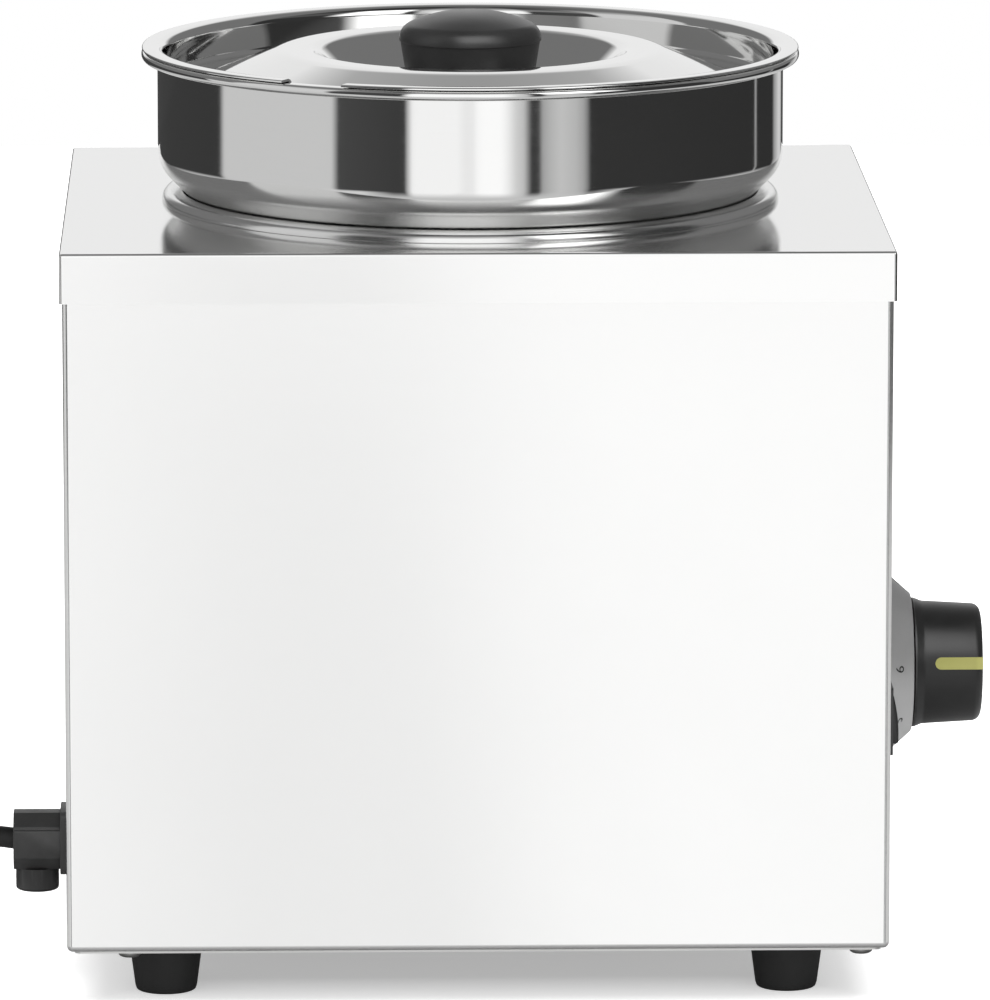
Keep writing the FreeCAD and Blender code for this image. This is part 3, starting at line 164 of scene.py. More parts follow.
sweep_depth = ramp(room, (split, "Y"), SWEEP)
sideways = reckon(room, "ABSOLUTE", (split, "X"))
beside = spread(room, (sideways, "Value"), SWEEP_EDGE)
sweep = blend(room, (beside, "Result"), (sweep_depth, "Color"), grey(SWEEP_SIDE))
behind = spread(room, (split, "Y"), SWEEP_DEPTH)
raised = spread(room, (split, "Z"), SWEEP_FOOT)
sweep_share = reckon(room, "MULTIPLY", (behind, "Result"), (raised, "Result"))
around = blend(room, (sweep_share, "Value"), (lit_front, "Color"), (sweep, "Color"))
rays = add(room, "LightPath")
on_matt = ramp(room, (split, "Z"), LIGHT_ON_MATT)
white = blend(room, (rays, "Is Camera Ray"), (on_matt, "Color"), grey(1))
mirrored = blend(room, (rays, "Is Glossy Ray"), (white, "Color"), (around, "Color"))
seen_through = blend(room, (rays, "Is Transmission Ray"), (mirrored, "Color"), grey(1))
sky = add(room, "Background", {"Color": (seen_through, "Color")})
add(room, "OutputWorld", {"Surface": (sky, "Background")})

# Table: a white board. For camera rays it glows less under and round the body, a painted shadow over the
# real one.
# For glossy rays it glows with a painted reflection: the screens in front, a little greyer on the left
# (metres to the right, share), grey beside the body (degrees, tone), and painted shade under the body.
TABLE_RADIUS = 1.85
TABLE_WHITE = 0.92
UNDER_BODY = (-0.00945, 0.150, 0.119)
GLOW_IN_PAINTED_SHADOW, GLOW_ROUND = 0.34, 0.85
PAINTED_SHADOW_REACH = (0.62, 1.1)
SHARE_SPAN = 0.25
# Painted reflection tones that the steel sees in the table: share across it, degrees round it, grey at steep
# angles.
TABLE_SHARE = [(-0.16, 0.92), (-0.12, 0.87), (-0.08, 0.83), (-0.02, 0.84), (0.03, 0.97), (0.08, 1.0)]
NOT_FRONT = [(-42, 1), (-30, 0), (46, 0), (58, 1)]
CLOSE_BY = (1.25, 0.95)
TABLE_BESIDE = [
    (-180, 0.50), (-130, 0.55), (-90, 0.55), (-60, 0.62), (-45, 0.75), (45, 0.75), (60, 0.62),
    (90, 0.58), (135, 0.52), (180, 0.50),
]
TABLE_SHADE = 0.60
STEEP = (0.24, 0.50)
PAINTED_SHADE_UNDER = 0.22
PAINTED_SHADE_REACH = (0.95, 1.35)
table_mesh = bpy.data.meshes.new("table")
table_form = bmesh.new()
bmesh.ops.create_circle(table_form, cap_ends=True, segments=96, radius=TABLE_RADIUS)
table_form.to_mesh(table_mesh)
table_form.free()
table = bpy.data.objects.new("table", table_mesh)
scene.collection.objects.link(table)
table_finish = bpy.data.materials.new("white_table")
table_finish.use_nodes = True
paper = table_finish.node_tree
table_shader = paper.nodes["Principled BSDF"]
table_shader.inputs["Base Color"].default_value = grey(TABLE_WHITE)
table_shader.inputs["Roughness"].default_value = 0.9
table_shader.inputs["Specular IOR Level"].default_value = 0.0
table_shader.inputs["Emission Color"].default_value = grey(1)
table_rays = add(paper, "LightPath")
table_point = add(paper, "NewGeometry")
body_x, body_half_x, body_half_y = UNDER_BODY
from_body = add(paper, "Mapping", {
    "Vector": (table_point, "Position"), "Location": (-body_x / body_half_x, 0, 0),
    "Scale": (1 / body_half_x, 1 / body_half_y, 0),
})
all_ways = add(paper, "VectorMath", {0: (from_body, "Vector")}, operation="ABSOLUTE")
each_way = add(paper, "SeparateXYZ", {"Vector": (all_ways, "Vector")})
far_off = reckon(paper, "MAXIMUM", (each_way, "X"), (each_way, "Y"))
# Painted shadow: the camera sees less glow near the body, so the table is darker there than its lamps make
# it.
painted_shadow_glow = spread(paper, (far_off, "Value"), PAINTED_SHADOW_REACH, (GLOW_IN_PAINTED_SHADOW, GLOW_ROUND))
for_camera = reckon(paper, "MULTIPLY", (table_rays, "Is Camera Ray"), (painted_shadow_glow, "Result"))
paper.links.new(for_camera.outputs["Value"], table_shader.inputs["Emission Strength"])
# Painted reflection: for glossy rays the table glows with the screens' tones, chosen by the way the ray
# comes in.
from_table = add(paper, "SeparateXYZ", {"Vector": (table_point, "Incoming")})
near_screens = by_bearing(paper, from_table, 1.0, SCREENS)
spot = add(paper, "SeparateXYZ", {"Vector": (table_point, "Position")})
across = spread(paper, (spot, "X"), (-SHARE_SPAN, SHARE_SPAN))
table_share = ramp(paper, (across, "Result"),
                   [((x + SHARE_SPAN) / (2 * SHARE_SPAN), tone) for x, tone in TABLE_SHARE])
shaded = blend(paper, 1.0, (near_screens, "Color"), (table_share, "Color"), "MULTIPLY")
not_front = by_bearing(paper, from_table, 1.0, NOT_FRONT)
how_far = add(paper, "VectorMath", {0: (table_point, "Position")}, operation="LENGTH")
close_by = spread(paper, (how_far, "Value"), CLOSE_BY)
beside_body = reckon(paper, "MULTIPLY", (not_front, "Color"), (close_by, "Result"))
beside_tone = by_bearing(paper, from_table, 1.0, TABLE_BESIDE)
all_round = blend(paper, (beside_body, "Value"), (shaded, "Color"), (beside_tone, "Color"))
steep = spread(paper, (from_table, "Z"), STEEP)
near_foot = blend(paper, (steep, "Result"), (all_round, "Color"), grey(TABLE_SHADE))
# Painted shade: the glow that the steel sees is dimmed under and near the body.
painted_shade_share = spread(paper, (far_off, "Value"), PAINTED_SHADE_REACH, (PAINTED_SHADE_UNDER, 1.0))
painted_reflection = add(paper, "Emission", {"Color": (near_foot, "Color"), "Strength": (painted_shade_share, "Result")})
table_look = add(paper, "MixShader", {0: (table_rays, "Is Glossy Ray"), 1: (table_shader, "BSDF"),
                                      2: (painted_reflection, "Emission")})
paper.links.new(table_look.outputs["Shader"], paper.nodes["Material Output"].inputs["Surface"])
table_mesh.materials.append(table_finish)

# Lamps: two weak soft boxes for everything, a large one that only black pieces show as a glint,
# and one that lights the table alone.
LAMP_AIM = Vector((0, 0, 0.15))
black_pieces = bpy.data.collections.new("black_pieces")
table_alone = bpy.data.collections.new("table_alone")
table_alone.objects.link(table)
for name, place, size, power, lit in (
    ("top_box", (-0.25, -0.35, 1.7), 1.1, 2.5, None),
    ("left_box", (-1.6, -1.2, 0.9), 0.9, 3.0, None),
    ("glint_box", (0.15, -1.3, 1.6), 1.5, 20.0, black_pieces),
    ("floor_box", (0.0, -0.5, 2.4), 3.0, 78.0, table_alone),
):
    lamp_data = bpy.data.lights.new(name, "AREA")
    lamp_data.size = size
    lamp_data.energy = power
    lamp = bpy.data.objects.new(name, lamp_data)
    lamp.location = place
    lamp.rotation_euler = (LAMP_AIM - Vector(place)).to_track_quat("-Z", "Y").to_euler()
    lamp.visible_glossy = lit is black_pieces
    if lit:
        lamp.light_linking.receiver_collection = lit
    scene.collection.objects.link(lamp)

# Mains lead: black rubber-sheathed cord, 7 mm thick and one and a half metres long. It leaves the gland,
# sinks to the table and is put away as a tied coil of two layers with the plug beside it.
BODY_X = -9.45
CASING_HALF = 131.6
GLAND_Y = -60
GLAND_Z = 43.8
GLAND_OUT = 18.2
GLAND_FACE = (BODY_X - CASING_HALF - GLAND_OUT, GLAND_Y, GLAND_Z)
CORD_RADIUS = 3.5
COIL_MIDDLE = (BODY_X - 218, 15)
COIL_RADIUS = 50.5
COIL_PITCH = 7.7
COIL_TURNS = 2.25
COIL_CLIMB = 0.5
COIL_LOW = 4.8
COIL_LIFT = 7.5
TURN_POINTS = 16
WEST = COIL_MIDDLE[0] - COIL_RADIUS
PLUG_AXIS = 18.6
PLUG_Y = COIL_MIDDLE[1] + 57


def coil_turn(turns):
    """Point of the coil after so many turns: in on the lower layer, up a layer, out on the upper one."""
    climb = turns - COIL_TURNS
    if climb <= 0:
        radius, level = COIL_RADIUS - COIL_PITCH * turns, COIL_LOW
    elif climb >= COIL_CLIMB:
        radius = COIL_RADIUS - COIL_PITCH * (2 * COIL_TURNS + COIL_CLIMB - turns)
        level = COIL_LOW + COIL_LIFT
    else:
        radius = COIL_RADIUS - COIL_PITCH * COIL_TURNS - COIL_PITCH * (climb - 2 * climb * climb)
        risen = climb / COIL_CLIMB
        level = COIL_LOW + COIL_LIFT * (3 * risen ** 2 - 2 * risen ** 3)
    angle = math.pi - 2 * math.pi * turns
    return (COIL_MIDDLE[0] + radius * math.cos(angle), COIL_MIDDLE[1] + radius * math.sin(angle), level)


lead_route = [
    (GLAND_FACE[0] + 3, GLAND_Y, GLAND_Z - 0.4),
    (GLAND_FACE[0] - 20, GLAND_Y, GLAND_Z + 3.5),
    (GLAND_FACE[0] - 55, -58.5, GLAND_Z - 6),
    (WEST + 28.5, COIL_MIDDLE[1] - 65.5, COIL_LOW + 17),
    (WEST + 8, COIL_MIDDLE[1] - 49, COIL_LOW + 4.6),
    (WEST, COIL_MIDDLE[1] - 27, COIL_LOW),
    (WEST, COIL_MIDDLE[1] - 7, COIL_LOW),
]
for step in range(int((2 * COIL_TURNS + COIL_CLIMB) * TURN_POINTS) + 1):
    lead_route.append(coil_turn(step / TURN_POINTS))
lead_route += [
    (WEST, COIL_MIDDLE[1] + 7, COIL_LOW + COIL_LIFT),
    (WEST, COIL_MIDDLE[1] + 22, COIL_LOW + COIL_LIFT),
    (WEST, COIL_MIDDLE[1] + 43, PLUG_AXIS),
    (WEST, PLUG_Y, PLUG_AXIS),
]
lead_curve = bpy.data.curves.new("mains_lead", "CURVE")
lead_curve.dimensions = "3D"
lead_curve.bevel_depth = CORD_RADIUS * MM
lead_curve.bevel_resolution = 6
lead_curve.resolution_u = 8
lead_curve.use_fill_caps = True
lead_line = lead_curve.splines.new("NURBS")
lead_line.points.add(len(lead_route) - 1)
for point, place in zip(lead_line.points, lead_route):
    point.co = (*(Vector(place) * MM), 1)
lead_line.order_u = 3
lead_line.use_endpoint_u = True
mains_lead = bpy.data.objects.new("mains_lead", lead_curve)
scene.collection.objects.link(mains_lead)


def plain_finish(name, colour, metallic=0.0, roughness=0.5):
    """A material with its own shader, ready for texture nodes."""
    finish = bpy.data.materials.new(name)
    finish.use_nodes = True
    shader = finish.node_tree.nodes["Principled BSDF"]
    shader.inputs["Base Color"].default_value = (*colour, 1)
    shader.inputs["Metallic"].default_value = metallic
    shader.inputs["Roughness"].default_value = roughness
    return finish, finish.node_tree, shader


def noise(tree, place, scale, detail, layers=0.5, twist=0.0):
    """A cloudy pattern: how fine, how many layers and how strong the fine ones are."""
    return add(tree, "TexNoise", {"Vector": place, "Scale": scale, "Detail": detail,
                                  "Roughness": layers, "Distortion": twist})


def moulded(name, dark, light, grain_mm, rough, bump_mm, edge=None, shine=0.3):
    """Moulded plastic or rubber, grey or coloured: spark-eroded grain, slow changes of tone and gloss."""
    finish, tree, shader = plain_finish(name, dark if isinstance(dark, tuple) else (dark, dark, dark))
    shader.inputs["Specular IOR Level"].default_value = shine
    place = add(tree, "TexCoord")
    grain = noise(tree, (place, "Object"), 1000 / grain_mm, 3.0)
    cloud = noise(tree, (place, "Object"), 55.0, 4.0, 0.6)
    shade = ramp(tree, (cloud, "Fac"), [(0.3, dark), (0.75, light)])
    if edge is not None:
        form = add(tree, "NewGeometry")
        rub = ramp(tree, (form, "Pointiness"), [(0.515, 0), (0.58, 1)])
        worn = reckon(tree, "MULTIPLY", (rub, "Color"), (cloud, "Fac"))
        shade = blend(tree, (worn, "Value"), (shade, "Color"), grey(edge))
    tree.links.new(shade.outputs["Color"], shader.inputs["Base Color"])
    gloss = spread(tree, (cloud, "Fac"), (0.3, 0.7), rough)
    tree.links.new(gloss.outputs["Result"], shader.inputs["Roughness"])
    dents = add(tree, "Bump", {"Height": (grain, "Fac"), "Strength": 0.6, "Distance": bump_mm * MM})
    tree.links.new(dents.outputs["Normal"], shader.inputs["Normal"])
    return finish


cord_rubber = moulded("cord_rubber", 0.018, 0.028, 0.5, (0.42, 0.56), 0.02)
lead_curve.materials.append(cord_rubber)
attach(mains_lead, "base")
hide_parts("power_cord", "cord_coil", "cord_tail")


def finish_node(finish, *names):
    """Gives solids that keep their own shape a better finish."""
    for name in names:
        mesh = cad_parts[name].data
        mesh.materials.clear()
        mesh.materials.append(finish)


finish_node(cord_rubber, "cord_inlet")

# Plug: moulded black body with a ribbed strain relief and a grip, and two bright round pins.
# It lies on the table beside the coil, at the end of the lead.


def rounded(corners, steps=8):
    """Outline points through corners (x, y) or (x, y, rounding)."""
    points = []
    count = len(corners)
    for number, corner in enumerate(corners):
        here = Vector(corner[:2])
        if len(corner) == 2:
            points.append(here)
            continue
        to_last = (Vector(corners[number - 1][:2]) - here).normalized()
        to_next = (Vector(corners[(number + 1) % count][:2]) - here).normalized()
        half = to_last.angle(to_next) / 2
        middle = here + (to_last + to_next).normalized() * (corner[2] / math.sin(half))
        first = here + to_last * (corner[2] / math.tan(half)) - middle
        last = here + to_next * (corner[2] / math.tan(half)) - middle
        sweep_angle = first.angle_signed(last)
        for step in range(steps + 1):
            points.append(middle + Matrix.Rotation(-sweep_angle * step / steps, 2) @ first)
    return points


def smooth_over(mesh, sharpest):
    """Shades a mesh smooth but for edges sharper than so many degrees."""
    for face in mesh.polygons:
        face.use_smooth = True
    mesh.set_sharp_from_angle(angle=math.radians(sharpest))


def show(name, form, finish, place, turn, smooth):
    """Puts a finished form in the scene, smooth but for edges sharper than so many degrees."""
    bmesh.ops.recalc_face_normals(form, faces=form.faces)
    mesh = bpy.data.meshes.new(name)
    form.to_mesh(mesh)
    form.free()
    smooth_over(mesh, smooth)
    mesh.materials.append(finish)
    piece = bpy.data.objects.new(name, mesh)
    scene.collection.objects.link(piece)
    piece.matrix_world = Matrix.Translation(Vector(place) * MM) @ (turn or Matrix.Identity(4))
    return piece


GLINT_SLOTS = ("plug_moulding", "gland_moulding", "black_rubber", "black_moulding", "switch_rocker")


def settle(piece, body, slot, *nodes):
    """Lets a piece ride on a body and stand for solids; a piece in a glint slot joins the black pieces."""
    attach(piece, body)
    if nodes:
        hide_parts(*nodes)
    if slot in GLINT_SLOTS:
        black_pieces.objects.link(piece)


def lathe(name, outline, finish, place, turn=None, round_steps=160, smooth=32):
    """Turned piece: a closed outline of (radius, height) in mm swung round its axis."""
    form = bmesh.new()
    rings = []
    for radius, level in outline:
        if radius < 1e-4:
            rings.append([form.verts.new((0, 0, level * MM))])
            continue
        ring = []
        for step in range(round_steps):
            angle = 2 * math.pi * step / round_steps
            ring.append(form.verts.new((radius * MM * math.cos(angle), radius * MM * math.sin(angle),
                                        level * MM)))
        rings.append(ring)
    for low, high in zip(rings, rings[1:] + rings[:1]):
        for step in range(round_steps):
            after = (step + 1) % round_steps
            corners = [low[step % len(low)], low[after % len(low)],
                       high[after % len(high)], high[step % len(high)]]
            corners = list(dict.fromkeys(corners))
            if len(corners) > 2:
                form.faces.new(corners)
    return show(name, form, finish, place, turn, smooth)


RELIEF = 22
RELIEF_END = 4.8
RIBS = 6
RIB_WIDTH = 1.9
RIB_DEEP = 0.9
RIB_THIN, RIB_THICK = 4.9, 6.5
FIRST_RIB, LAST_GAP = 1.5, 1.0
PLUG_LENGTH = 36
PLUG_RADIUS = 18.5
plug_black = moulded("plug_black", 0.020, 0.032, 0.35, (0.38, 0.52), 0.03, edge=0.08)
relief_outline = [(0, 0), (RELIEF_END, 0)]
for rib in range(RIBS):
    start = FIRST_RIB + rib * (RELIEF - FIRST_RIB - LAST_GAP) / RIBS
    girth = RIB_THIN + (RIB_THICK - RIB_THIN) * rib / (RIBS - 1)
    relief_outline += [(girth, start), (girth, start + RIB_WIDTH),
                       (girth - RIB_DEEP, start + RIB_WIDTH + 0.2),
                       (girth - RIB_DEEP + 0.1, start + RIB_WIDTH + 1)]
plug_outline = relief_outline + rounded([
    (6.4, RELIEF), (9, RELIEF, 0.6), (14.6, RELIEF + 9, 4), (15.5, RELIEF + 14, 3),
    (PLUG_RADIUS, RELIEF + 20, 3), (PLUG_RADIUS, RELIEF + PLUG_LENGTH, 0.9), (0, RELIEF + PLUG_LENGTH),
])
TOWARD_BACK = Matrix.Rotation(math.radians(-90), 4, "X")
plug = lathe("plug", plug_outline, plug_black, (WEST, PLUG_Y, PLUG_AXIS), TOWARD_BACK, 96)
settle(plug, "base", "plug_moulding", "plug_body")


def spun_steel(name, colour, rough, line_mm, smear=0.05, stretch=0.0, streak=0.06, satin=None):
    """Steel with fine lines round its axis and faint smears, satin low down where that is given."""
    finish, tree, shader = plain_finish(name, colour, 1.0, rough)
    place = add(tree, "TexCoord")
    split_place = add(tree, "SeparateXYZ", {"Vector": (place, "Object")})
    flat = add(tree, "CombineXYZ", {"X": (split_place, "X"), "Y": (split_place, "Y")})
    reach = add(tree, "VectorMath", {0: (flat, "Vector")}, operation="LENGTH")
    angle = reckon(tree, "ARCTAN2", (split_place, "Y"), (split_place, "X"))
    slow = reckon(tree, "MULTIPLY", (angle, "Value"), 0.004)
    lines_at = add(tree, "CombineXYZ", {"X": (slow, "Value"), "Y": (reach, "Value"),
                                        "Z": (split_place, "Z")})
    lines = noise(tree, (lines_at, "Vector"), 1000 / line_mm, 4.0, 0.65)
    smears = noise(tree, (place, "Object"), 24.0, 5.0, 0.6, 0.8)
    fine = spread(tree, (lines, "Fac"), (0.35, 0.65), (rough * 0.8, rough * 1.2))
    dull = spread(tree, (smears, "Fac"), (0.45, 0.75), (0.0, smear))
    total = reckon(tree, "ADD", (fine, "Result"), (dull, "Result"))
    if satin:
        satin_rough, full_below, none_above = satin
        unpolished = spread(tree, (split_place, "Z"), (full_below * MM, none_above * MM), (satin_rough, 0.0))
        total = reckon(tree, "ADD", (total, "Value"), (unpolished, "Result"))
    tree.links.new(total.outputs["Value"], shader.inputs["Roughness"])
    tone = ramp(tree, (lines, "Fac"), [(0.3, tuple(c * (1 - streak) for c in colour)), (0.7, colour)])
    tree.links.new(tone.outputs["Color"], shader.inputs["Base Color"])
    relief = add(tree, "Bump", {"Height": (lines, "Fac"), "Strength": streak, "Distance": 0.002 * MM})
    tree.links.new(relief.outputs["Normal"], shader.inputs["Normal"])
    shader.inputs["Anisotropic"].default_value = stretch
    return finish


pin_metal = spun_steel("pin_metal", (0.78, 0.74, 0.62), 0.22, 0.25)
finish_node(pin_metal, "plug_pins")

# Cable tie: black nylon band moulded in one piece with its lock, drawn round the bundle of turns.
# It keeps the coil of spare lead together.
tie_nylon = moulded("tie_nylon", 0.024, 0.036, 0.3, (0.35, 0.45), 0.01)
finish_node(tie_nylon, "coil_tie")

# Cord gland: black nylon block on a square flange, with a clamp bridge on top, a slotted pressure screw
# from below and a nut inside the panel.


def prisms(name, layers, finish, place, turn, bevel_mm):
    """Moulding made of upright prisms: outlines in mm with a low and a high level, edges rounded over."""
    form = bmesh.new()
    for outline, low, high in layers:
        bottom = [form.verts.new((x * MM, y * MM, low * MM)) for x, y in outline]
        top = [form.verts.new((x * MM, y * MM, high * MM)) for x, y in outline]
        form.faces.new(bottom[::-1])
        form.faces.new(top)
        for number in range(len(outline)):
            after = (number + 1) % len(outline)
            form.faces.new((bottom[number], bottom[after], top[after], top[number]))
    bmesh.ops.recalc_face_normals(form, faces=form.faces)
    sharp = [edge for edge in form.edges if edge.calc_face_angle(0) > math.radians(30)]
    bmesh.ops.bevel(form, geom=sharp, offset=bevel_mm * MM, segments=3, profile=0.5, affect="EDGES",
                    clamp_overlap=True)
    return show(name, form, finish, place, turn, 40)


FLANGE = 20.7 / 2
FLANGE_THICK = 3
FLANGE_ROUND = 2.5
BLOCK = GLAND_OUT / 2
BLOCK_SLANT = (4.2, 3.4)
BRIDGE_LOW = 4.3
BRIDGE_SPLIT = 0.1
BRIDGE_STEP = 1.2
BRIDGE_FLAT = 3.2
GLAND_NECK = 8
NECK_IN = 12
NECK_STEPS = 48
gland_nylon = moulded("gland_nylon", 0.020, 0.032, 0.4, (0.38, 0.52), 0.03, edge=0.10, shine=0.35)
OUT_BACK = Matrix.Rotation(math.radians(-90), 4, "Y")
gland_place = (BODY_X - CASING_HALF, GLAND_Y, GLAND_Z)
flange_square = rounded([(FLANGE * x, FLANGE * y, FLANGE_ROUND)
                         for x, y in ((-1, -1), (1, -1), (1, 1), (-1, 1))], 5)
block_side = rounded([
    (-BLOCK, -BLOCK + BLOCK_SLANT[1], 0.6), (-BLOCK + BLOCK_SLANT[0], -BLOCK, 0.6),
    (BRIDGE_LOW, -BLOCK), (BRIDGE_LOW, BLOCK), (-BLOCK, BLOCK, 1.2),
], 4)
neck_round = [(GLAND_NECK * math.cos(2 * math.pi * step / NECK_STEPS),
               GLAND_NECK * math.sin(2 * math.pi * step / NECK_STEPS)) for step in range(NECK_STEPS)]
gland_layers = [(flange_square, 0, FLANGE_THICK), (block_side, FLANGE_THICK - 0.5, GLAND_OUT),
                (neck_round, -NECK_IN, 0.5)]
gland_block = prisms("gland_block", gland_layers, gland_nylon, gland_place, OUT_BACK, 0.35)
settle(gland_block, "base", "gland_moulding", "gland_body")
bridge_side = rounded([
    (BRIDGE_LOW + BRIDGE_SPLIT, -BLOCK), (BRIDGE_LOW + BRIDGE_STEP, -BLOCK, 0.5),
    (BLOCK, -BRIDGE_FLAT, 0.8), (BLOCK, BRIDGE_FLAT, 0.8),
    (BRIDGE_LOW + BRIDGE_STEP, BLOCK, 0.5), (BRIDGE_LOW + BRIDGE_SPLIT, BLOCK),
], 4)
bridge_layers = [(bridge_side, FLANGE_THICK, GLAND_OUT)]
clamp_bridge = prisms("clamp_bridge", bridge_layers, gland_nylon, gland_place, OUT_BACK, 0.3)
settle(clamp_bridge, "base", "gland_moulding", "gland_clamp")
finish_node(gland_nylon, "clamp_screw", "gland_nut")

# Casing, cover and base: folded stainless sheet with a bright satin face, the grain running sideways.
# The cover's skirt slips over the casing, and the base plate is screwed on from below.


def sheet_steel(name, colour, rough, along, metallic):
    """Rolled sheet: faint straight grain along one direction and cloudy gloss."""
    finish, tree, shader = plain_finish(name, colour, metallic, rough)
    place = add(tree, "TexCoord")
    stretch = add(tree, "Mapping", {"Vector": (place, "Object"), "Scale": along})
    grain = noise(tree, (stretch, "Vector"), 1.0, 5.0, 0.7)
    cloud = noise(tree, (place, "Object"), 9.0, 5.0, 0.55)
    fine = spread(tree, (grain, "Fac"), (0.3, 0.7), (rough * 0.9, rough * 1.15))
    slow = spread(tree, (cloud, "Fac"), (0.35, 0.7), (rough * -0.1, rough * 0.2))
    total = reckon(tree, "ADD", (fine, "Result"), (slow, "Result"))
    tree.links.new(total.outputs["Value"], shader.inputs["Roughness"])
    tone = ramp(tree, (grain, "Fac"), [(0.3, tuple(c * 0.992 for c in colour)), (0.7, colour)])
    tree.links.new(tone.outputs["Color"], shader.inputs["Base Color"])
    relief = add(tree, "Bump", {"Height": (grain, "Fac"), "Strength": 0.012, "Distance": 0.004 * MM})
    tree.links.new(relief.outputs["Normal"], shader.inputs["Normal"])
    return finish


LONG = 30.0
FINE = 1800.0
wall_sheet = sheet_steel("wall_sheet", (0.92, 0.92, 0.915), 0.13, (LONG, LONG, FINE), 0.88)
cover_sheet = sheet_steel("cover_sheet", (0.91, 0.91, 0.905), 0.08, (LONG, FINE, FINE), 0.96)
base_sheet = sheet_steel("base_sheet", (0.70, 0.70, 0.69), 0.32, (LONG, FINE / 2, FINE / 2), 1.0)
finish_node(wall_sheet, "casing")
finish_node(cover_sheet, "top_cover")
finish_node(base_sheet, "base_plate")

# Screws, nuts, studs and washers: zinc-plated steel, turned and slightly dull.
# They hold the base, the feet, the heater, the thermostat, the terminals and the lid's knob.
zinc = spun_steel("zinc", (0.46, 0.46, 0.45), 0.30, 0.3)
finish_node(zinc, "base_screws", "foot_screws", "foot_nuts", "heater_stud", "heater_nut",
            "thermostat_screws", "thermostat_shaft", "bulb_clip", "earth_nut", "terminal_screws",
            "lid_screw", "lid_washer")

# Feet: tapered moulded rubber with a rounded sole, one near each corner.
# A screw in a recess in the sole holds each foot to the base plate.
FOOT_X = 100.25
FOOT_Y = 87.5
FOOT_HIGH = 18.2
FOOT_TOP = 12.2
SOLE, SOLE_EDGE = 9.5, 10.0
SOLE_HIGH = 1.6
FOOT_HOLE = 2.2
RECESS, RECESS_DEEP = 5.6, 9
foot_rubber = moulded("foot_rubber", 0.024, 0.036, 0.6, (0.55, 0.75), 0.05, edge=0.06)
foot_outline = rounded([
    (RECESS, 0), (SOLE, 0, 0.8), (SOLE_EDGE, SOLE_HIGH, 0.5), (FOOT_TOP, FOOT_HIGH, 0.3),
    (FOOT_HOLE, FOOT_HIGH), (FOOT_HOLE, RECESS_DEEP), (RECESS, RECESS_DEEP),
], 5)
for end, foot_y in (("front", -FOOT_Y), ("back", FOOT_Y)):
    for hand, foot_x in (("left", -FOOT_X), ("right", FOOT_X)):
        foot_place = (BODY_X + foot_x, foot_y, 0)
        foot = lathe(f"{end}_{hand}_foot", foot_outline, foot_rubber, foot_place, None, 96)
        settle(foot, "base", "black_rubber", f"foot_{end}_{hand}")

# Well: deep-drawn stainless cup for the hot water, satin-polished, hung in the cover's round hole.
# Its rolled rim lies on the cover over a red silicone seal.
COVER_TOP = 245
WELL_RADIUS = 93.5
WELL_SHEET = 0.8
WELL_DEEP = 198
RIM_RADIUS = 101
RIM_HIGH = 3.6
RIM_ROUND = 1.6
well_satin = spun_steel("well_satin", (0.86, 0.86, 0.855), 0.17, 0.35, 0.03, 0.3, 0.02)
well_outline = rounded([
    (0, -WELL_DEEP - WELL_SHEET), (WELL_RADIUS + WELL_SHEET, -WELL_DEEP - WELL_SHEET, 10.8),
    (WELL_RADIUS + WELL_SHEET, RIM_HIGH - WELL_SHEET, 0.8),
    (RIM_RADIUS - WELL_SHEET, RIM_HIGH - WELL_SHEET, 1.6), (RIM_RADIUS - WELL_SHEET, 0),
    (RIM_RADIUS, 0, 0.2), (RIM_RADIUS, RIM_HIGH, 3.2), (WELL_RADIUS, RIM_HIGH, RIM_ROUND),
    (WELL_RADIUS, -WELL_DEEP, 10), (0, -WELL_DEEP),
], 10)
water_well = lathe("water_well", well_outline, well_satin, (BODY_X, 0, COVER_TOP), None, 256)
settle(water_well, "base", "polished_steel", "well")
silicone = moulded("silicone", (0.36, 0.10, 0.07), (0.44, 0.14, 0.10), 0.5, (0.5, 0.6), 0.02)
finish_node(silicone, "well_seal")

# Pot: deep-drawn stainless, mirror-polished above and satin below, with a rolled bead round its mouth.
# It stands loose in the well: its sloping shoulder rests on the well's rim.
POT_SHEET = 0.8
POT_DEEP = 184
POT_FOOT = 90.5
POT_NECK = 92.3
POT_WIDE = 102.3
BEAD_IN, BEAD_OUT = 105.1, 107.5
BEAD_LOW, BEAD_TOP = 46.4, 49.6
SEAT_GAP = 0.3
SLOPE = RIM_HIGH - 2 * RIM_ROUND - WELL_RADIUS + math.sqrt(2) * (RIM_ROUND + SEAT_GAP)
FOLD = POT_SHEET * (math.sqrt(2) - 1)
pot_outline = rounded([
    (0, -POT_DEEP), (POT_FOOT, -POT_DEEP, 12), (POT_NECK, POT_NECK + SLOPE, 3),
    (POT_WIDE, POT_WIDE + SLOPE, 12), (POT_WIDE, BEAD_TOP - POT_SHEET, 0.3),
    (BEAD_IN, BEAD_TOP - POT_SHEET, 0.3), (BEAD_IN, BEAD_LOW, 0.5), (BEAD_OUT, BEAD_LOW, 1.5),
    (BEAD_OUT, BEAD_TOP, 1.5), (POT_WIDE - POT_SHEET, BEAD_TOP, 1.5),
    (POT_WIDE - POT_SHEET, POT_WIDE + SLOPE + FOLD, 11.2),
    (POT_NECK - POT_SHEET, POT_NECK + SLOPE + FOLD, 3.8),
    (POT_FOOT - POT_SHEET, -POT_DEEP + POT_SHEET, 11.2), (0, -POT_DEEP + POT_SHEET),
], 10)
LOW_SATIN = (0.20, 11, 15.5)
pot_polish = spun_steel("pot_polish", (0.88, 0.88, 0.875), 0.05, 0.35, 0.025, 0.3, 0.015, LOW_SATIN)
soup_pot = lathe("soup_pot", pot_outline, pot_polish, (BODY_X, 0, COVER_TOP), None, 256)
settle(soup_pot, "pot", "polished_steel", "pot")

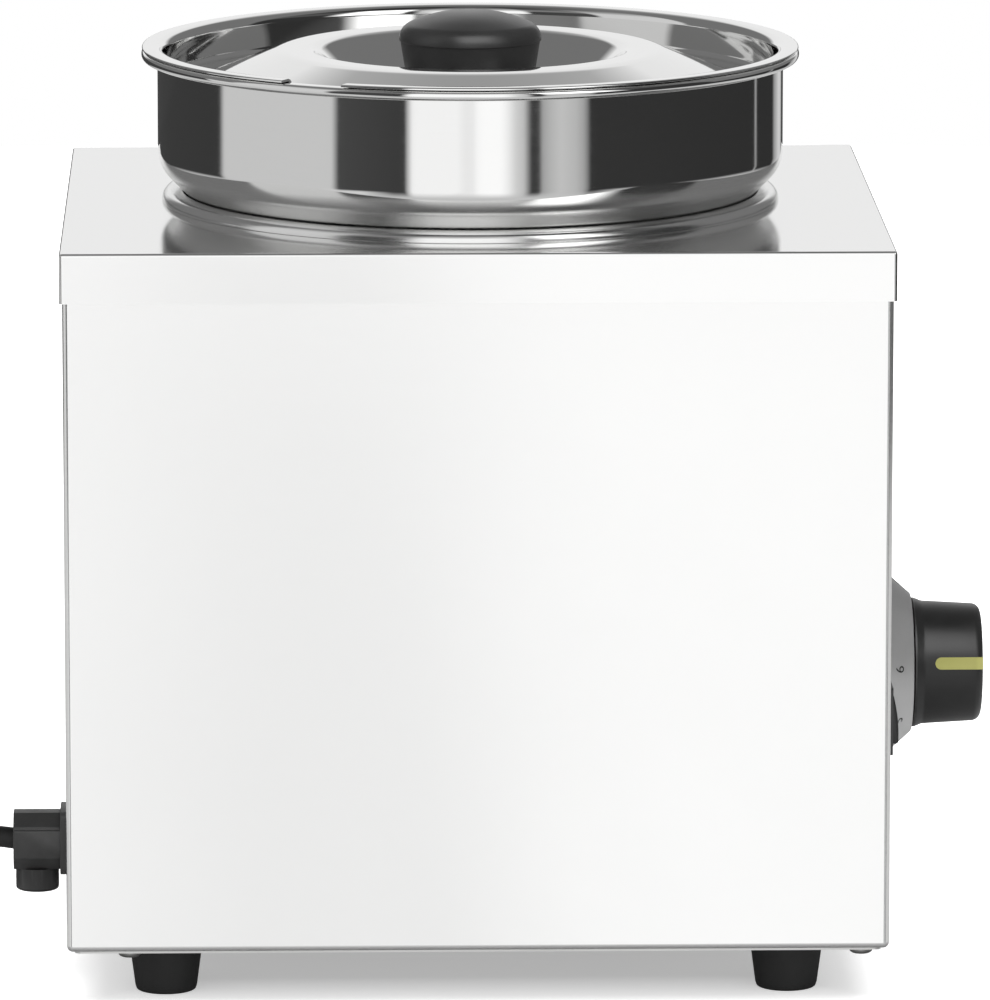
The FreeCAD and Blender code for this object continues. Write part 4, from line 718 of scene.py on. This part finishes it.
# Lid: pressed from one sheet, polished, with a flange on the bead, a gutter, a cone, a crest and a dish.
# A notch for the ladle is cut through the flange and the gutter.
LID_Z = COVER_TOP + 49.9
LID_SHEET = 0.8
LID_FLANGE = 107.3
GUTTER_OUT, GUTTER_IN, GUTTER_DROP = 100.9, 91.5, 12.5
CONE_TOP = 62
CREST, CREST_DROP = 51.3, 1.2
DISH, DISH_DROP = 39.3, 13
SLOPE_SHIFT = 0.3
LID_HOLE = 2.7
LID_SHARP = 32
NOTCH_HALF = 10.8
NOTCH_IN, NOTCH_OUT = 87.8, 115
NOTCH_LOW, NOTCH_HIGH = -20, 10
NOTCH_ROUND = 5
LADLE_TURN = Matrix.Rotation(math.radians(-29.5), 4, "Z")
polish = spun_steel("polish", (0.88, 0.88, 0.875), 0.05, 0.35, 0.025, 0.3, 0.015)
lid_outline = rounded([
    (LID_HOLE, -DISH_DROP), (DISH, -DISH_DROP, 3), (CREST, -CREST_DROP, 6), (CONE_TOP, -CREST_DROP, 12),
    (GUTTER_IN, -GUTTER_DROP, 5), (GUTTER_OUT, -GUTTER_DROP, 2.8), (GUTTER_OUT, 0, 2.3),
    (LID_FLANGE, 0, 0.1), (LID_FLANGE, LID_SHEET, 0.6), (GUTTER_OUT - LID_SHEET, LID_SHEET, 3.1),
    (GUTTER_OUT - LID_SHEET, LID_SHEET - GUTTER_DROP, 2), (GUTTER_IN, LID_SHEET - GUTTER_DROP, 5),
    (CONE_TOP, LID_SHEET - CREST_DROP, 12), (CREST - SLOPE_SHIFT, LID_SHEET - CREST_DROP, 6),
    (DISH - SLOPE_SHIFT, LID_SHEET - DISH_DROP, 3), (LID_HOLE, LID_SHEET - DISH_DROP),
], 8)
lid_place = (BODY_X, 0, LID_Z)
drop_lid = lathe("drop_lid", lid_outline, polish, lid_place, None, 256)
notch_outline = rounded([
    (-NOTCH_HALF, -NOTCH_OUT), (NOTCH_HALF, -NOTCH_OUT), (NOTCH_HALF, -NOTCH_IN, NOTCH_ROUND),
    (-NOTCH_HALF, -NOTCH_IN, NOTCH_ROUND),
], 8)
notch_layers = [(notch_outline, NOTCH_LOW, NOTCH_HIGH)]
notch_tool = prisms("notch_tool", notch_layers, polish, lid_place, LADLE_TURN, 0.001)
cut = drop_lid.modifiers.new("notch", "BOOLEAN")
cut.operation = "DIFFERENCE"
cut.solver = "EXACT"
cut.object = notch_tool
bpy.context.view_layer.update()
cut_mesh = bpy.data.meshes.new_from_object(
    drop_lid.evaluated_get(bpy.context.evaluated_depsgraph_get()))
drop_lid.modifiers.clear()
drop_lid.data = cut_mesh
bpy.data.objects.remove(notch_tool)
smooth_over(cut_mesh, LID_SHARP)
settle(drop_lid, "lid", "polished_steel", "lid")

# Lid knob: black heat-proof moulding, a low dome over a tapered side, standing in the lid's dish.
# A screw with a washer holds it from below.
GRIP_FOOT = 20.6
GRIP_RADIUS = 23.3
GRIP_STEP, STEP_OUT = 14.4, 0.4
DOME_EDGE, DOME_TOP = 18.6, 24.1
DOME_FLAT, DOME_CROWN = 9.7, 24.3
GRIP_HOLE, HOLE_DEEP, HOLE_TIP = 2.5, 12, 13
grip_black = moulded("grip_black", 0.024, 0.034, 0.45, (0.28, 0.38), 0.035, edge=0.08, shine=0.5)
grip_outline = rounded([
    (GRIP_HOLE, 0), (GRIP_FOOT, 0, 0.6), (GRIP_RADIUS - STEP_OUT, GRIP_STEP, 0.2),
    (GRIP_RADIUS, GRIP_STEP, 0.2), (GRIP_RADIUS, DOME_EDGE, 5.6), (DOME_FLAT, DOME_CROWN, 45),
    (0, DOME_TOP), (0, HOLE_TIP), (GRIP_HOLE, HOLE_DEEP),
], 12)
grip_place = (BODY_X, 0, LID_Z + LID_SHEET - DISH_DROP)
lid_grip = lathe("lid_grip", grip_outline, grip_black, grip_place, None, 128, 50)
settle(lid_grip, "lid", "black_moulding", "lid_knob")

# Dial bezel: hollow conical moulding in satin grey, pegged to the control panel round the knob.
# Plain numbers are printed on its slope.
PANEL_X = BODY_X + CASING_HALF
CONTROL_Z = 89
OUT_FRONT = Matrix.Rotation(math.radians(90), 4, "Y")
panel_place = (PANEL_X, 0, CONTROL_Z)
BEZEL_WIDE, BEZEL_EDGE = 32.1, 3.5
BEZEL_NARROW, BEZEL_HIGH = 22.9, 14
BEZEL_WALL = 2
BEZEL_HOLE = 17.9
dial_grey = moulded("dial_grey", 0.44, 0.50, 0.4, (0.34, 0.42), 0.02, edge=0.54, shine=0.6)
dial_grey.node_tree.nodes["Principled BSDF"].inputs["Metallic"].default_value = 0.3
bezel_outline = rounded([
    (BEZEL_WIDE - BEZEL_WALL, 0), (BEZEL_WIDE, 0), (BEZEL_WIDE, BEZEL_EDGE, 0.5),
    (BEZEL_NARROW, BEZEL_HIGH, 0.8), (BEZEL_HOLE, BEZEL_HIGH, 0.3),
    (BEZEL_HOLE, BEZEL_HIGH - BEZEL_WALL), (BEZEL_NARROW - BEZEL_WALL, BEZEL_HIGH - BEZEL_WALL),
    (BEZEL_WIDE - BEZEL_WALL, 3),
], 6)
bezel = lathe("bezel", bezel_outline, dial_grey, panel_place, OUT_FRONT, 160, 40)
settle(bezel, "base", "grey_moulding", "dial_bezel")

NUMBERS = [("0", 0), ("1", 75), ("2", 115), ("3", 155), ("4", 195.5), ("5", 235.5), ("6", 276)]
NUMBER_HIGH = 3.7
TYPE_SIZE = 1.42 * NUMBER_HIGH
NUMBER_MIDDLE = 7.2
INK_LIFT = 0.04
number_ink = moulded("number_ink", 0.015, 0.022, 0.3, (0.45, 0.55), 0.004)
slant = Vector((BEZEL_NARROW - BEZEL_WIDE, BEZEL_HIGH - BEZEL_EDGE)).normalized()
lift = Vector((slant.y, -slant.x)) * INK_LIFT
ink_form = bmesh.new()
for text, clock in NUMBERS:
    letter_data = bpy.data.curves.new("letter", "FONT")
    letter_data.body = text
    letter_data.align_x = "CENTER"
    letter_data.align_y = "CENTER"
    letter_data.size = TYPE_SIZE
    letter = bpy.data.objects.new("letter", letter_data)
    scene.collection.objects.link(letter)
    bpy.context.view_layer.update()
    flat = bpy.data.meshes.new_from_object(
        letter.evaluated_get(bpy.context.evaluated_depsgraph_get()))
    lowest = Vector([min(corner.co[axis] for corner in flat.vertices) for axis in range(3)])
    highest = Vector([max(corner.co[axis] for corner in flat.vertices) for axis in range(3)])
    centre = (lowest + highest) / 2
    spots = []
    for corner in flat.vertices:
        along = NUMBER_MIDDLE - (corner.co.y - centre.y)
        radius = BEZEL_WIDE + slant.x * along
        angle = math.radians(clock) + (corner.co.x - centre.x) / radius
        spots.append(ink_form.verts.new((
            -(radius + lift.x) * math.cos(angle) * MM, (radius + lift.x) * math.sin(angle) * MM,
            (BEZEL_EDGE + slant.y * along + lift.y) * MM)))
    for face in flat.polygons:
        ink_form.faces.new([spots[number] for number in face.vertices])
    bpy.data.objects.remove(letter)
    bpy.data.meshes.remove(flat)
dial_numbers = show("dial_numbers", ink_form, number_ink, panel_place, OUT_FRONT, 60)
settle(dial_numbers, "base", "black_moulding")

# Control knob: black moulding with a flared foot and a slight taper, pushed on the thermostat's shaft.
# A yellow-green strip let into its side points at the numbers.
KNOB_START = 14.6
KNOB_NECK = KNOB_START + 3
KNOB_END = 37.1
KNOB_FOOT = 21.4
NECK_RADIUS = 20.4
TIP_RADIUS = 19.3
knob_black = moulded("knob_black", 0.012, 0.018, 0.45, (0.30, 0.40), 0.05, edge=0.08, shine=0.5)
knob_side = rounded([
    (0, KNOB_START), (KNOB_FOOT, KNOB_START), (KNOB_FOOT, KNOB_START + 0.6, 0.3),
    (NECK_RADIUS, KNOB_NECK, 3), (TIP_RADIUS, KNOB_END, 3), (0, KNOB_END),
], 10)
grip_knob = lathe("grip_knob", knob_side, knob_black, panel_place, OUT_FRONT, 160, 40)
settle(grip_knob, "knob", "black_moulding", "control_knob")

POINTER_TURN = math.radians(-90 - 9.5)
POINTER_START = 21.1
POINTER_HALF = 2.0
POINTER_STEP, POINTER_ROWS = 0.25, 44
POINTER_BEND = KNOB_END - 3.2
POINTER_INNER = 17.2
SUNK, PROUD = -0.3, 0.12
ACROSS = 8
pointer_lime = moulded("pointer_lime", (0.57, 0.56, 0.17), (0.63, 0.61, 0.21), 0.5, (0.40, 0.48), 0.01)
taper = (TIP_RADIUS - NECK_RADIUS) / (KNOB_END - KNOB_NECK)
strip_line = []
for step in range(POINTER_ROWS):
    level = POINTER_START + POINTER_STEP * step
    strip_line.append(Vector((NECK_RADIUS + (level - KNOB_NECK) * taper, level)))
strip_line += [Vector(point) for point in knob_side
               if point[1] > POINTER_BEND and point[0] > POINTER_INNER]
strip_across = [(SUNK, -1)] + [(PROUD, 2 * step / ACROSS - 1) for step in range(ACROSS + 1)] + [(SUNK, 1)]
strip_form = bmesh.new()
rows = []
gone = 0.0
for number, point in enumerate(strip_line):
    if number:
        gone += (point - strip_line[number - 1]).length
    half = math.sqrt(max(POINTER_HALF ** 2 - max(POINTER_HALF - gone, 0) ** 2, 0.02))
    row = []
    for rise, share_across in strip_across:
        angle = POINTER_TURN + share_across * half / point.x
        reach = point.x + rise
        level = min(point.y + rise * (point.y > KNOB_END - 1), KNOB_END + 0.1)
        row.append(strip_form.verts.new((reach * MM * math.cos(angle), reach * MM * math.sin(angle),
                                         level * MM)))
    rows.append(row)
for first, second in zip(rows, rows[1:]):
    for number in range(len(first) - 1):
        strip_form.faces.new((first[number], first[number + 1], second[number + 1], second[number]))
pointer_strip = show("pointer_strip", strip_form, pointer_lime, panel_place, OUT_FRONT, 40)
settle(pointer_strip, "knob", "pointer_colour", "knob_pointer")

# Rocker switch: black flanged case snapped into the panel, with a glossy domed rocker on trunnions.
# The rocker is moulded in one piece and rests tipped to its off side.
SWITCH_Y = -92
PIVOT_IN = 1.5
ROCKER_TILT = 6
ROCKER_HALF = 5.2
ROCKER_LONG, ROCKER_EDGE, ROCKER_DOME = 8.2, 4.6, 5.4
ROCKER_ROOT = (7.6, 1)
ROCKER_FOOT, ROCKER_DEEP = 3, 3.5
finish_node(gland_nylon, "switch_frame")
rocker_gloss = moulded("rocker_gloss", 0.014, 0.020, 0.6, (0.16, 0.24), 0.004, shine=0.5)
rocker_side = rounded([
    (-ROCKER_LONG, ROCKER_EDGE, 1), (-ROCKER_ROOT[0], ROCKER_ROOT[1]), (-ROCKER_FOOT, -ROCKER_DEEP),
    (ROCKER_FOOT, -ROCKER_DEEP), ROCKER_ROOT, (ROCKER_LONG, ROCKER_EDGE, 1), (0, ROCKER_DOME, 50),
], 8)
rocker_place = (PANEL_X - PIVOT_IN, SWITCH_Y, CONTROL_Z)
facing_out = Matrix.Rotation(math.radians(90 - ROCKER_TILT), 4, "Y")
tilted = facing_out @ Matrix.Rotation(math.radians(90), 4, "X")
rocker_layers = [(rocker_side, -ROCKER_HALF, ROCKER_HALF)]
domed_rocker = prisms("domed_rocker", rocker_layers, rocker_gloss, rocker_place, tilted, 0.4)
settle(domed_rocker, "rocker", "switch_rocker", "rocker_button")

# Inside: heater, thermostat, sensor, cut-out, terminals and earth, fixed out of sight in the casing.
# Brass tabs, drawn copper tube, heat-scaled steel and brown phenolic mouldings.
brass = spun_steel("brass", (0.74, 0.60, 0.30), 0.28, 0.3)
copper = spun_steel("copper", (0.74, 0.43, 0.29), 0.25, 0.3)
scaled = spun_steel("scaled", (0.24, 0.235, 0.22), 0.48, 0.6)
phenolic = moulded("phenolic", (0.055, 0.035, 0.026), (0.085, 0.055, 0.042), 0.4, (0.40, 0.52), 0.02)
finish_node(brass, "thermostat_tabs", "switch_tabs", "earth_stud")
finish_node(copper, "capillary_tube", "sensor_bulb")
finish_node(scaled, "heating_element", "heater_plate")
finish_node(phenolic, "thermostat_body", "terminal_block", "thermal_cutout")
